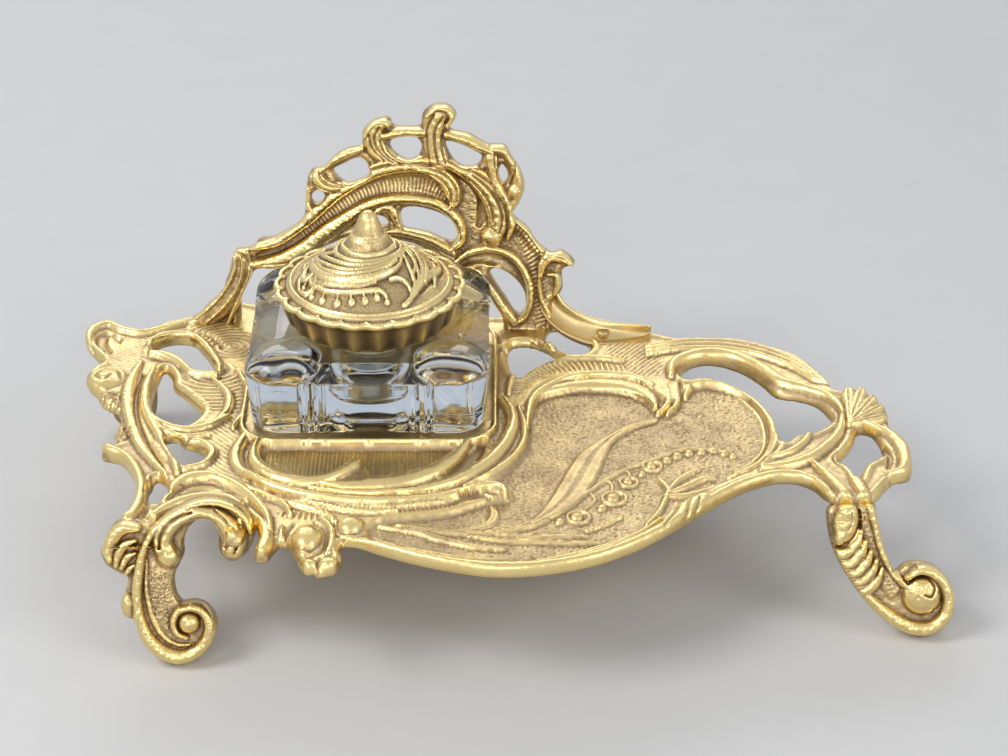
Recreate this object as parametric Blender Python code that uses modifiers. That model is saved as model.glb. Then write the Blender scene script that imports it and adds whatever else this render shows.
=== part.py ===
# Desk inkstand in the rococo manner: a pierced brass tray on four scroll feet, with a pierced
# gallery riveted along its back, and a square glass inkwell with a loose brass lid.
# Metres, +Z up. The origin is under the middle of the stand, on the surface it stands on.
# The front of the stand faces -Y.
import math

import bmesh
import bpy
from mathutils import Matrix, Vector

for item in list(bpy.data.objects):
    bpy.data.objects.remove(item, do_unlink=True)


# Driving sizes

plan_square = 0.100         # the square that the tray and gallery outlines are set out on
tray_level = 0.030          # top of the tray's plate above the desk
plate_thickness = 0.0032    # the cast plate
gallery_thickness = 0.0036  # the cast gallery
gallery_lean = math.radians(12.0)
gallery_turn = math.radians(-3.0)

rim_bead = 0.0017           # radius of the bead on the tray's front edge
tray_scroll = 0.0019        # radius of the tray's bold ridges
tray_line = 0.0013          # radius of its lesser ridges
tray_vein = 0.0009          # radius of the stems and blades in the dish
tray_sink = 0.0001          # how far the tray's ridges lie with their middles below its top
scroll_ridge = 0.0015       # radius of the bold ridges on the gallery
fine_ridge = 0.0010         # radius of the thin ridges on the gallery and feet
ridge_sink = 0.0004         # how far their middles lie below the face that carries them

pan_depth = 0.0016          # how far the pen dish is sunk into the plate
channel_depth = 0.0011      # how far the channel in front of the glass is sunk
leaf_height = 0.0009        # how far the long leaf stands over the dish's floor
knob_radius = 0.0025        # the knobs on the tray's border
knob_height = 0.0018
bell_radius = 0.0018        # the flower bells in the dish
bell_height = 0.0011

well_width = 0.0575         # the glass, across its flats
well_wall_height = 0.0140   # its upright wall
well_shoulder_rise = 0.0030
well_shoulder_inset = 0.0075
well_corner = 0.0080        # radius of its upright edges
well_floor = 0.0040         # glass under the ink chamber
neck_radius = 0.0145
neck_wall = 0.0045          # glass round the ink chamber, in the neck
neck_height = 0.0050
groove_radius = 0.0011      # the upright grooves in each side of the glass
groove_offset = 0.0140      # from the middle of a side to its grooves
glass_to_gallery = 0.00175  # from the back of the glass to the gallery's middle plane

seat_margin = 0.0010        # width of the lip round the glass
seat_lip = 0.0008           # height of that lip
seat_rise = 0.0010          # the seat's floor above the plate
seat_clearance = 0.0005     # between the glass and the lip

lid_clearance = 0.0030      # between the neck and the lid's skirt
lid_wall = 0.0020
lid_overhang = 0.00335      # how far the scalloped border stands out over the skirt's foot
lid_skirt_height = 0.0075
lid_cone_height = 0.0200    # from the border to the finial's tip
scallop_count = 22
scallop_depth = 0.0007

foot_thickness = 0.0055
foot_lean = math.radians(21.0)
lug_length = 0.0090         # the flange behind each foot, under the tray
lug_width = 0.0070
lug_thickness = 0.0035
screw_radius = 0.0012
screw_head_radius = 0.0022
screw_head_height = 0.0014
thread_depth = 0.0018       # how far a screw goes into the tray
screw_from_edge = 0.0030    # from the flange's end to the screw's axis

pad_length = 0.0062         # the gallery's tabs, which lie on the tray
pad_width = 0.0060
pad_thickness = 0.0018
rivet_radius = 0.0010
rivet_head_radius = 0.0018
rivet_head_height = 0.0008
rivet_room = 0.0040         # clear height over a rivet's head

gap = 0.0003                # between pieces that touch
weld = 0.000001             # points nearer than this are one point
round_steps = 24
fixing_steps = 12
corner_steps = 4
dome_sides = 10
dome_rings = 6
outline_steps = 2
bead_resolution = 1         # a bevel resolution of 1 makes a six-sided section
smooth_turn = math.radians(35.0)


# Outlines, drawn by hand as shares of the plan square, x to the right and y to the back

tray_outline_shares = [
    (-0.930, -0.050), (-0.925, -0.080), (-0.885, -0.100), (-0.855, -0.150), (-0.835, -0.210),
    (-0.830, -0.280), (-0.838, -0.340), (-0.852, -0.380), (-0.845, -0.415), (-0.790, -0.420),
    (-0.735, -0.414), (-0.718, -0.379), (-0.705, -0.345), (-0.675, -0.328), (-0.645, -0.335),
    (-0.630, -0.365), (-0.620, -0.410), (-0.605, -0.450), (-0.580, -0.448), (-0.570, -0.419),
    (-0.558, -0.375), (-0.546, -0.370), (-0.544, -0.409), (-0.535, -0.465), (-0.512, -0.473),
    (-0.500, -0.440), (-0.480, -0.430), (-0.460, -0.449), (-0.448, -0.490), (-0.435, -0.525),
    (-0.410, -0.555), (-0.378, -0.560), (-0.360, -0.524), (-0.352, -0.478), (-0.325, -0.468),
    (-0.270, -0.495), (-0.190, -0.530), (-0.110, -0.559), (-0.030, -0.578), (0.060, -0.575),
    (0.140, -0.556), (0.220, -0.522), (0.300, -0.467), (0.370, -0.402), (0.425, -0.343),
    (0.475, -0.290), (0.530, -0.238), (0.580, -0.203), (0.630, -0.183), (0.670, -0.190),
    (0.703, -0.220), (0.722, -0.260), (0.732, -0.305), (0.780, -0.310), (0.835, -0.304),
    (0.848, -0.259), (0.862, -0.222), (0.888, -0.188), (0.920, -0.175), (0.935, -0.140),
    (0.938, -0.090), (0.942, -0.049), (0.933, -0.010), (0.915, 0.035), (0.905, 0.070),
    (0.910, 0.120), (0.895, 0.165), (0.875, 0.205), (0.853, 0.238), (0.830, 0.233),
    (0.805, 0.225), (0.785, 0.255), (0.772, 0.300), (0.750, 0.360), (0.710, 0.415),
    (0.655, 0.455), (0.595, 0.483), (0.520, 0.480), (0.440, 0.490), (0.385, 0.515),
    (0.330, 0.545), (0.240, 0.570), (0.152, 0.633), (0.110, 0.651), (0.062, 0.642),
    (0.035, 0.611), (-0.020, 0.604), (-0.200, 0.616), (-0.420, 0.640), (-0.600, 0.665),
    (-0.680, 0.690), (-0.730, 0.675), (-0.755, 0.650),
    (-0.775, 0.622), (-0.805, 0.601), (-0.850, 0.580), (-0.878, 0.550), (-0.900, 0.525),
    (-0.935, 0.540), (-0.970, 0.571), (-1.010, 0.581), (-1.038, 0.551), (-1.040, 0.500),
    (-1.025, 0.445), (-1.000, 0.405), (-0.985, 0.370), (-1.005, 0.340), (-1.013, 0.301),
    (-0.998, 0.250), (-0.973, 0.210), (-0.955, 0.166), (-0.915, 0.130), (-0.903, 0.080),
    (-0.910, 0.020), (-0.902, -0.025),
]

# The openings through the tray: four in the left wing, two behind the dish, two in the right wing
tray_opening_shares = [
    [(-0.863, 0.410), (-0.855, 0.460), (-0.820, 0.485), (-0.775, 0.481), (-0.745, 0.435),
     (-0.715, 0.371), (-0.700, 0.320), (-0.720, 0.302), (-0.750, 0.310), (-0.770, 0.341),
     (-0.795, 0.385), (-0.830, 0.411)],
    [(-0.825, 0.339), (-0.803, 0.299), (-0.795, 0.251), (-0.765, 0.211), (-0.735, 0.164),
     (-0.718, 0.131), (-0.730, 0.081), (-0.750, 0.058), (-0.780, 0.071), (-0.810, 0.100),
     (-0.838, 0.145), (-0.840, 0.220), (-0.835, 0.280)],
    [(-0.790, -0.009), (-0.765, 0.000), (-0.740, -0.030), (-0.710, -0.045), (-0.690, -0.070),
     (-0.693, -0.115), (-0.720, -0.128), (-0.753, -0.108), (-0.773, -0.069)],
    [(-0.790, -0.180), (-0.768, -0.200), (-0.758, -0.246), (-0.755, -0.272), (-0.770, -0.291),
     (-0.792, -0.295), (-0.801, -0.271), (-0.802, -0.230)],
    [(0.018, 0.461), (0.055, 0.475), (0.095, 0.450), (0.138, 0.386), (0.100, 0.363),
     (0.065, 0.330), (0.035, 0.288), (0.018, 0.331)],
    [(0.120, 0.555), (0.150, 0.548), (0.193, 0.501), (0.213, 0.456), (0.200, 0.418),
     (0.170, 0.408), (0.135, 0.436), (0.110, 0.470), (0.105, 0.520)],
    [(0.430, 0.321), (0.455, 0.361), (0.500, 0.380), (0.545, 0.365), (0.590, 0.325),
     (0.625, 0.270), (0.655, 0.215), (0.700, 0.200), (0.740, 0.175), (0.765, 0.129),
     (0.773, 0.090), (0.755, 0.055), (0.720, 0.022), (0.680, 0.010), (0.655, -0.020),
     (0.640, 0.030), (0.637, 0.091), (0.620, 0.150), (0.595, 0.201), (0.560, 0.245),
     (0.520, 0.275), (0.480, 0.289), (0.442, 0.282)],
    [(0.835, 0.040), (0.860, 0.025), (0.873, -0.019), (0.878, -0.071), (0.855, -0.099),
     (0.830, -0.123), (0.815, -0.160), (0.803, -0.195), (0.789, -0.159), (0.765, -0.105),
     (0.790, -0.065), (0.815, -0.011), (0.825, 0.026)],
]

pan_shares = [
    (0.080, 0.240), (0.110, 0.275), (0.160, 0.290), (0.240, 0.295), (0.300, 0.280),
    (0.350, 0.241), (0.380, 0.195), (0.400, 0.178), (0.420, 0.196), (0.440, 0.239),
    (0.480, 0.263), (0.530, 0.250), (0.580, 0.205), (0.615, 0.140), (0.627, 0.070),
    (0.623, 0.000), (0.608, -0.070), (0.580, -0.130), (0.530, -0.170), (0.470, -0.220),
    (0.410, -0.300), (0.350, -0.375), (0.280, -0.440), (0.200, -0.495), (0.110, -0.530),
    (0.020, -0.543), (-0.070, -0.529), (-0.160, -0.500), (-0.240, -0.465), (-0.290, -0.425),
    (-0.260, -0.380), (-0.180, -0.365), (-0.080, -0.360), (-0.010, -0.330), (0.030, -0.280),
    (0.050, -0.219), (0.045, -0.140), (0.050, -0.050), (0.055, 0.050), (0.058, 0.150),
]

# Raised ridges on the tray, each a named size of section along a route
tray_ridge_shares = [
    (rim_bead, [(-0.340, -0.455), (-0.270, -0.480), (-0.190, -0.515), (-0.110, -0.545),
                (-0.030, -0.562), (0.060, -0.560), (0.140, -0.541), (0.220, -0.507),
                (0.290, -0.458), (0.360, -0.393), (0.415, -0.333), (0.465, -0.280),
                (0.520, -0.228), (0.575, -0.190), (0.630, -0.170), (0.680, -0.178),
                (0.715, -0.215), (0.735, -0.265)]),
    (tray_line, [(-0.989, 0.402), (-1.019, 0.460), (-1.018, 0.520), (-0.990, 0.546),
                 (-0.950, 0.522), (-0.900, 0.508), (-0.850, 0.528), (-0.800, 0.558)]),
    (tray_scroll, [(-0.684, 0.320), (-0.702, 0.380), (-0.734, 0.447), (-0.794, 0.496),
                   (-0.853, 0.480)]),
    (tray_scroll, [(-0.866, 0.395), (-0.825, 0.384), (-0.788, 0.342), (-0.750, 0.296),
                   (-0.695, 0.286)]),
    (tray_line, [(-0.885, 0.360), (-0.900, 0.270), (-0.900, 0.190), (-0.880, 0.080),
                 (-0.845, -0.040), (-0.800, -0.130), (-0.770, -0.180)]),
    (tray_line, [(-0.850, 0.330), (-0.860, 0.240), (-0.850, 0.140), (-0.812, 0.020),
                 (-0.772, -0.092), (-0.748, -0.170)]),
    (tray_line, [(-0.835, 0.090), (-0.800, 0.046), (-0.750, 0.024), (-0.700, 0.034),
                 (-0.660, 0.080), (-0.654, 0.140), (-0.665, 0.210)]),
    (tray_scroll, [(-0.910, -0.070), (-0.868, -0.102), (-0.831, -0.178), (-0.816, -0.280),
                   (-0.826, -0.360)]),
    (tray_line, [(-0.932, 0.274), (-0.942, 0.308), (-0.970, 0.314), (-0.982, 0.286),
                 (-0.960, 0.264)]),
    (tray_scroll, [(-0.760, -0.310), (-0.746, -0.240), (-0.714, -0.196), (-0.660, -0.194),
                   (-0.604, -0.236), (-0.560, -0.294), (-0.530, -0.360)]),
    (tray_scroll, [(-0.775, -0.350), (-0.750, -0.312), (-0.710, -0.282), (-0.660, -0.274),
                   (-0.616, -0.290), (-0.596, -0.330)]),
    (tray_scroll, [(-0.414, -0.460), (-0.404, -0.500), (-0.394, -0.530)]),
    (tray_scroll, [(-0.574, -0.060), (-0.570, -0.126), (-0.530, -0.186), (-0.470, -0.218),
                   (-0.406, -0.218), (-0.360, -0.234), (-0.296, -0.242), (-0.224, -0.228),
                   (-0.164, -0.184), (-0.116, -0.120), (-0.090, -0.060)]),
    (tray_scroll, [(-0.590, -0.180), (-0.540, -0.226), (-0.480, -0.262), (-0.420, -0.284),
                   (-0.350, -0.299), (-0.280, -0.304), (-0.200, -0.300), (-0.130, -0.282),
                   (-0.080, -0.256), (-0.038, -0.238)]),
    (tray_scroll, [(-0.200, -0.256), (-0.130, -0.222), (-0.070, -0.166), (-0.020, -0.090),
                   (0.006, -0.020), (0.019, 0.050), (0.015, 0.120), (-0.004, 0.180)]),
    (tray_line, [(0.360, 0.436), (0.440, 0.464), (0.540, 0.466), (0.620, 0.440), (0.694, 0.382),
                 (0.750, 0.306)]),
    (tray_scroll, [(0.402, 0.300), (0.412, 0.350), (0.450, 0.394), (0.506, 0.410),
                   (0.572, 0.388), (0.630, 0.328), (0.674, 0.264), (0.724, 0.230),
                   (0.776, 0.188), (0.804, 0.126)]),
    (tray_scroll, [(0.796, 0.090), (0.784, 0.014), (0.746, -0.054), (0.698, -0.102),
                   (0.640, -0.134)]),
    (tray_scroll, [(0.855, 0.046), (0.894, 0.006), (0.918, -0.050), (0.920, -0.110),
                   (0.906, -0.154)]),
    (tray_line, [(0.710, -0.120), (0.740, -0.190), (0.760, -0.250), (0.768, -0.290)]),
    (tray_line, [(0.758, -0.096), (0.784, -0.170), (0.804, -0.240), (0.810, -0.290)]),
    (tray_line, [(0.014, 0.210), (0.036, 0.280), (0.086, 0.334), (0.142, 0.372), (0.220, 0.380),
                 (0.290, 0.366)]),
    (tray_line, [(0.062, 0.120), (0.072, 0.190), (0.114, 0.254), (0.170, 0.292), (0.240, 0.304),
                 (0.310, 0.288), (0.354, 0.254)]),
]

# The ridges inside the dish, which stand on its floor
dish_ridge_shares = [
    (tray_line, [(0.450, 0.276), (0.500, 0.278), (0.550, 0.248), (0.592, 0.200), (0.620, 0.130),
                 (0.630, 0.060), (0.626, 0.000), (0.610, -0.060), (0.584, -0.110), (0.546, -0.150),
                 (0.510, -0.180)]),
    (tray_scroll, [(0.074, 0.196), (0.110, 0.232), (0.164, 0.256), (0.220, 0.264),
                   (0.276, 0.256), (0.322, 0.232), (0.350, 0.194), (0.360, 0.154)]),
    (tray_vein, [(0.020, -0.384), (0.096, -0.334), (0.150, -0.282), (0.194, -0.224),
                 (0.234, -0.172), (0.280, -0.126), (0.330, -0.094), (0.380, -0.056),
                 (0.430, -0.034), (0.510, -0.046)]),
    (tray_vein, [(-0.240, -0.380), (-0.150, -0.398), (-0.050, -0.404), (0.030, -0.388)]),
    (tray_vein, [(-0.210, -0.400), (-0.110, -0.430), (-0.020, -0.464)]),
    (tray_vein, [(-0.060, -0.420), (0.020, -0.435), (0.100, -0.440), (0.190, -0.444)]),
]

# The ribbed channel in front of the glass, which runs on under the seat's block
channel_shares = [
    (-0.555, -0.024), (-0.562, -0.060), (-0.566, -0.100), (-0.550, -0.146), (-0.516, -0.180),
    (-0.476, -0.202), (-0.430, -0.210), (-0.390, -0.200), (-0.366, -0.170), (-0.342, -0.144),
    (-0.324, -0.160), (-0.304, -0.200), (-0.260, -0.214), (-0.210, -0.204), (-0.170, -0.160),
    (-0.134, -0.106), (-0.114, -0.060), (-0.110, -0.024),
]

# The long leaf in the dish
leaf_shares = [
    (0.059, -0.360), (0.086, -0.303), (0.106, -0.249), (0.126, -0.187), (0.148, -0.118),
    (0.176, -0.052), (0.212, -0.005), (0.254, 0.035), (0.301, 0.078), (0.343, 0.098),
    (0.347, 0.090), (0.311, 0.066), (0.270, 0.021), (0.248, -0.027), (0.236, -0.076),
    (0.220, -0.142), (0.198, -0.213), (0.166, -0.279), (0.122, -0.329), (0.069, -0.368),
]

# The knobs on the border: two in front of the glass, then a cluster on the right wing
knob_shares = [
    (-0.440, -0.424), (-0.366, -0.394), (0.824, 0.086), (0.844, 0.132), (0.856, 0.184),
    (0.808, 0.184), (0.874, 0.094),
]

# The bells that hang from the stem in the dish
bell_shares = [
    (0.344, -0.114), (0.285, -0.184), (0.240, -0.260), (0.166, -0.326), (0.400, -0.070),
]

# The C-scroll that rises over the left front foot, drawn in the foot's leaning plane: across it
# as shares of the plan square, and up it as shares of the foot's slanting height
arch_shares = [
    (-0.068, 1.015), (-0.040, 1.138), (0.000, 1.251), (0.040, 1.307), (0.090, 1.318),
    (0.130, 1.275), (0.160, 1.170), (0.176, 1.043), (0.170, 0.944), (0.150, 0.846),
    (0.120, 0.817), (0.106, 0.853), (0.099, 0.923), (0.098, 1.022), (0.088, 1.120),
    (0.063, 1.159), (0.034, 1.099), (0.015, 1.018),
]

# The ridge along its outer edge, drawn in the same way
arch_ridge_shares = [
    (-0.054, 1.064), (-0.032, 1.148), (0.006, 1.230), (0.046, 1.268), (0.090, 1.272),
    (0.126, 1.226), (0.150, 1.134), (0.160, 1.022), (0.150, 0.923),
]

# How far to the foot's right the C-scroll stays above the foot
arch_hang_share = 0.050

# The gallery, drawn in its own leaning plane: along the tray, and up the plane
gallery_outline_shares = [
    (-0.810, -0.020), (-0.763, 0.013), (-0.741, 0.038), (-0.719, 0.057), (-0.702, 0.082),
    (-0.694, 0.104), (-0.686, 0.127), (-0.680, 0.155), (-0.670, 0.177), (-0.648, 0.181),
    (-0.628, 0.188), (-0.610, 0.206), (-0.580, 0.211), (-0.548, 0.228), (-0.516, 0.249),
    (-0.500, 0.268), (-0.494, 0.310), (-0.490, 0.360), (-0.478, 0.386), (-0.450, 0.394),
    (-0.424, 0.421), (-0.390, 0.441), (-0.356, 0.452), (-0.352, 0.485), (-0.325, 0.513),
    (-0.289, 0.520), (-0.277, 0.502), (-0.239, 0.499), (-0.211, 0.503), (-0.203, 0.536),
    (-0.172, 0.557), (-0.140, 0.554), (-0.122, 0.530), (-0.138, 0.498), (-0.089, 0.483),
    (-0.045, 0.460), (-0.003, 0.457), (0.014, 0.430), (0.036, 0.397), (0.047, 0.352),
    (0.035, 0.313), (0.020, 0.286), (0.056, 0.250), (0.086, 0.208), (0.114, 0.190),
    (0.144, 0.193), (0.174, 0.162), (0.145, 0.146), (0.144, 0.095), (0.120, 0.060),
    (0.125, 0.020), (0.110, -0.019), (0.060, -0.021), (0.005, -0.018), (-0.005, 0.021),
    (-0.030, 0.061), (-0.055, 0.110), (-0.090, 0.135), (-0.125, 0.152), (-0.180, 0.180),
    (-0.230, 0.203), (-0.300, 0.215), (-0.370, 0.220), (-0.430, 0.198), (-0.500, 0.160),
    (-0.570, 0.130), (-0.622, 0.126), (-0.636, 0.099), (-0.658, 0.052), (-0.670, -0.022),
]

gallery_opening_shares = [
    [(-0.480, 0.320), (-0.464, 0.334), (-0.448, 0.322), (-0.460, 0.303), (-0.476, 0.304)],
    [(-0.425, 0.385), (-0.400, 0.402), (-0.360, 0.418), (-0.342, 0.405), (-0.335, 0.382),
     (-0.365, 0.362), (-0.395, 0.356)],
    [(-0.283, 0.462), (-0.255, 0.472), (-0.222, 0.473), (-0.208, 0.453), (-0.215, 0.428),
     (-0.240, 0.417), (-0.268, 0.429), (-0.283, 0.445)],
    [(-0.147, 0.463), (-0.115, 0.458), (-0.075, 0.440), (-0.060, 0.431), (-0.065, 0.412),
     (-0.085, 0.403), (-0.115, 0.408), (-0.138, 0.432)],
    [(-0.010, 0.409), (0.004, 0.392), (0.004, 0.372), (-0.006, 0.364), (-0.017, 0.383)],
    [(-0.256, 0.288), (-0.230, 0.297), (-0.195, 0.292), (-0.160, 0.281), (-0.133, 0.263),
     (-0.118, 0.232), (-0.126, 0.213), (-0.150, 0.216), (-0.185, 0.231), (-0.225, 0.240),
     (-0.252, 0.248)],
    [(-0.318, 0.272), (-0.296, 0.266), (-0.290, 0.251), (-0.305, 0.246), (-0.318, 0.256)],
    [(-0.036, 0.136), (-0.022, 0.145), (0.000, 0.137), (0.030, 0.112), (0.050, 0.080),
     (0.054, 0.050), (0.042, 0.030), (0.026, 0.036), (0.004, 0.070), (-0.020, 0.105)],
]

gallery_ridge_shares = [
    (scroll_ridge, [(-0.640, 0.165), (-0.600, 0.185), (-0.550, 0.205), (-0.500, 0.248),
                    (-0.440, 0.300), (-0.370, 0.345), (-0.290, 0.378), (-0.210, 0.383),
                    (-0.155, 0.360), (-0.130, 0.315)]),
    (scroll_ridge, [(-0.310, 0.400), (-0.230, 0.408), (-0.150, 0.398), (-0.080, 0.372),
                    (-0.020, 0.325), (0.005, 0.275), (-0.005, 0.230), (-0.030, 0.215)]),
    (fine_ridge, [(-0.610, 0.140), (-0.540, 0.160), (-0.460, 0.203), (-0.380, 0.258),
                  (-0.300, 0.302), (-0.220, 0.314), (-0.150, 0.298), (-0.108, 0.250),
                  (-0.108, 0.205)]),
    (fine_ridge, [(-0.770, 0.002), (-0.720, 0.035), (-0.680, 0.080), (-0.660, 0.130),
                  (-0.650, 0.165)]),
    (fine_ridge, [(-0.120, 0.172), (-0.070, 0.188), (-0.010, 0.180), (0.040, 0.145),
                  (0.068, 0.090), (0.090, 0.030)]),
    (fine_ridge, [(-0.290, 0.232), (-0.230, 0.226), (-0.180, 0.216), (-0.130, 0.195)]),
    (scroll_ridge, [(-0.160, 0.440), (-0.178, 0.480), (-0.180, 0.520), (-0.155, 0.540),
                    (-0.138, 0.525)]),
    (scroll_ridge, [(-0.285, 0.420), (-0.325, 0.450), (-0.330, 0.490), (-0.305, 0.505)]),
]

# The strap from the gallery's right side down to the tray: plan place and height over the plate
strap_shares = [
    (0.118, 0.588, 0.150), (0.112, 0.580, 0.100), (0.128, 0.560, 0.058), (0.170, 0.535, 0.033),
    (0.220, 0.518, 0.024), (0.275, 0.506, 0.022), (0.335, 0.500, 0.020),
]
strap_radius = 0.0023

# The feet, as shares of a foot's slanting height: across the foot, and up it
left_foot_shares = [
    (0.007, 1.100), (0.007, 0.990), (0.000, 0.770), (0.007, 0.630), (0.028, 0.550), (0.070, 0.505),
    (0.158, 0.514), (0.246, 0.486), (0.317, 0.405), (0.338, 0.282), (0.282, 0.141),
    (0.176, 0.046), (0.042, 0.000), (-0.053, 0.014), (-0.176, 0.088), (-0.264, 0.211),
    (-0.303, 0.345), (-0.387, 0.387), (-0.408, 0.493), (-0.366, 0.616), (-0.359, 0.694),
    (-0.475, 0.739), (-0.556, 0.845), (-0.510, 0.933), (-0.387, 0.986), (-0.370, 1.101),
]
right_foot_shares = [
    (-0.289, 1.100), (-0.292, 0.980), (-0.282, 0.845), (-0.229, 0.634), (-0.158, 0.493),
    (-0.106, 0.528), (0.000, 0.581), (0.106, 0.577), (0.211, 0.533), (0.299, 0.458),
    (0.342, 0.317), (0.335, 0.176), (0.246, 0.035), (0.106, 0.000), (0.000, 0.010),
    (-0.176, 0.088), (-0.352, 0.246), (-0.493, 0.440), (-0.600, 0.635), (-0.650, 0.810),
    (-0.685, 0.981), (-0.690, 1.101),
]
rear_foot_shares = [
    (0.106, 1.100), (0.100, 0.950), (0.050, 0.700), (0.035, 0.420), (0.070, 0.310), (0.120, 0.345),
    (0.200, 0.330), (0.275, 0.230), (0.260, 0.105), (0.175, 0.018), (0.070, 0.000),
    (-0.035, 0.053), (-0.106, 0.211), (-0.134, 0.421), (-0.127, 0.701), (-0.110, 0.951),
    (-0.106, 1.101),
]
left_foot_ridge_shares = [
    (-0.250, 0.92), (-0.275, 0.70), (-0.268, 0.42), (-0.200, 0.190), (-0.060, 0.062),
    (0.120, 0.070), (0.270, 0.200), (0.255, 0.390), (0.120, 0.450), (0.000, 0.370),
    (-0.005, 0.230), (0.110, 0.175), (0.180, 0.250), (0.120, 0.325),
]
right_foot_ridge_shares = [
    (-0.420, 0.92), (-0.390, 0.70), (-0.300, 0.47), (-0.170, 0.250), (-0.020, 0.110),
    (0.150, 0.065), (0.285, 0.190), (0.290, 0.370), (0.180, 0.510), (0.040, 0.490),
    (-0.030, 0.370), (0.050, 0.260), (0.150, 0.280), (0.150, 0.370),
]

# Where things stand on the plan
well_across_share = -0.318
gallery_back_share = 0.566
left_front_foot_shares = (-0.735, -0.490)
right_front_foot_shares = (0.925, -0.380)
left_rear_foot_shares = (-0.915, 0.600)
right_rear_foot_shares = (0.380, 0.500)
left_tab_share = -0.715     # along the gallery
middle_tab_share = 0.080
right_tab_shares = (0.245, 0.503)

# Where a foot meets the tray, across the foot
left_front_top_share = -0.18
right_front_top_share = -0.49
rear_top_share = 0.0

# How thick a ridge is at its ends
ridge_end_share = 0.45
strap_end_share = 1.0

level_share = 0.9           # a face whose normal rises by more than this is a level one


# Sizes worked out from these

gallery_back = gallery_back_share * plan_square
plate_bottom = tray_level - plate_thickness
foot_top = plate_bottom - gap
foot_rise = foot_top / math.cos(foot_lean)
seat_floor = tray_level + seat_rise
well_x = well_across_share * plan_square
well_y = gallery_back - glass_to_gallery - well_width / 2
well_base = seat_floor + gap
well_shoulder = well_base + well_wall_height
well_top = well_shoulder + well_shoulder_rise
well_bore = neck_radius - neck_wall
neck_top = well_top + neck_height
lid_foot = well_top + gap
lid_border = lid_foot + lid_skirt_height
lid_skirt_radius = neck_radius + lid_clearance + lid_wall
lid_rim_radius = lid_skirt_radius + lid_overhang
overrun = plan_square / 10  # how far a cutter runs past what it cuts
beyond = 2 * plan_square    # farther out than any piece


# Tools

parts = bpy.data.collections.new("desk_inkstand")
bpy.context.scene.collection.children.link(parts)
cutters = bpy.data.collections.new("cutters")
bpy.context.scene.collection.children.link(cutters)


def material(name, colour, roughness, metallic, transmission=0.0):
    """A Principled material, made once for each name."""
    found = bpy.data.materials.get(name)
    if found:
        return found
    made = bpy.data.materials.new(name)
    made.use_nodes = True
    made.diffuse_color = (*colour, 1.0)
    shader = made.node_tree.nodes["Principled BSDF"]
    shader.inputs["Base Color"].default_value = (*colour, 1.0)
    shader.inputs["Roughness"].default_value = roughness
    shader.inputs["Metallic"].default_value = metallic
    shader.inputs["Transmission Weight"].default_value = transmission
    return made


def add_object(name, data, matrix, home):
    """A mesh or a curve as an object, among the parts or among the cutters."""
    made = bpy.data.objects.new(name, data)
    home.objects.link(made)
    made.matrix_world = matrix
    if home is cutters:
        made.hide_render = True
        made.display_type = "WIRE"
    return made


def flatten(thing):
    """Give an object the mesh that its curve or its modifiers make, with its ends welded."""
    home = thing.users_collection[0]
    bpy.context.view_layer.update()
    graph = bpy.context.evaluated_depsgraph_get()
    mesh = bpy.data.meshes.new_from_object(thing.evaluated_get(graph))
    work = bmesh.new()
    work.from_mesh(mesh)
    bmesh.ops.remove_doubles(work, verts=work.verts, dist=weld)
    bmesh.ops.recalc_face_normals(work, faces=work.faces)
    work.to_mesh(mesh)
    work.free()
    name, matrix = thing.name, thing.matrix_world.copy()
    bpy.data.objects.remove(thing, do_unlink=True)
    return add_object(name, mesh, matrix, home)


def combine(base, extra, operation):
    """Join, cut or trim a solid with another, which it uses up."""
    step = base.modifiers.new(operation.lower(), "BOOLEAN")
    step.operation = operation
    step.solver = "EXACT"
    step.object = extra
    made = flatten(base)
    bpy.data.objects.remove(extra, do_unlink=True)
    return made


def smooth_spline(curve, points, cyclic):
    """Add a smooth spline through the points."""
    spline = curve.splines.new("BEZIER")
    spline.bezier_points.add(len(points) - 1)
    spline.use_cyclic_u = cyclic
    for place, point in zip(spline.bezier_points, points):
        place.co = point
        place.handle_left_type = "AUTO"
        place.handle_right_type = "AUTO"
    return spline


def cut_plate(name, outlines, thickness, matrix, home):
    """A flat plate in a drawing plane: the first outline, less the others."""
    curve = bpy.data.curves.new(name, "CURVE")
    curve.dimensions = "2D"
    curve.fill_mode = "BOTH"
    curve.resolution_u = outline_steps
    curve.extrude = thickness / 2
    for outline in outlines:
        smooth_spline(curve, [(x, y, 0) for x, y in outline], True)
    return flatten(add_object(name, curve, matrix, home))


def ridge(name, route, radius, matrix, end_share):
    """A rounded bar along a route, with ends of their own thickness."""
    curve = bpy.data.curves.new(name, "CURVE")
    curve.dimensions = "3D"
    curve.resolution_u = outline_steps
    curve.bevel_depth = radius
    curve.bevel_resolution = bead_resolution
    curve.use_fill_caps = True
    spline = smooth_spline(curve, route, False)
    spline.bezier_points[0].radius = end_share
    spline.bezier_points[-1].radius = end_share
    return flatten(add_object(name, curve, matrix, cutters))


def rod(name, radius, low, high, axis, steps, home):
    """An upright cylinder between two heights."""
    work = bmesh.new()
    bmesh.ops.create_cone(work, cap_ends=True, segments=steps,
                          radius1=radius, radius2=radius, depth=high - low)
    mesh = bpy.data.meshes.new(name)
    work.to_mesh(mesh)
    work.free()
    return add_object(name, mesh, Matrix.Translation((*axis, (low + high) / 2)), home)


def dome(name, place, radius, height):
    """A low round knob, whose lower half goes into what carries it."""
    work = bmesh.new()
    bmesh.ops.create_uvsphere(work, u_segments=dome_sides, v_segments=dome_rings, radius=radius)
    bmesh.ops.scale(work, vec=(1, 1, height / radius), verts=work.verts)
    mesh = bpy.data.meshes.new(name)
    work.to_mesh(mesh)
    work.free()
    return add_object(name, mesh, Matrix.Translation(place), cutters)


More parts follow.
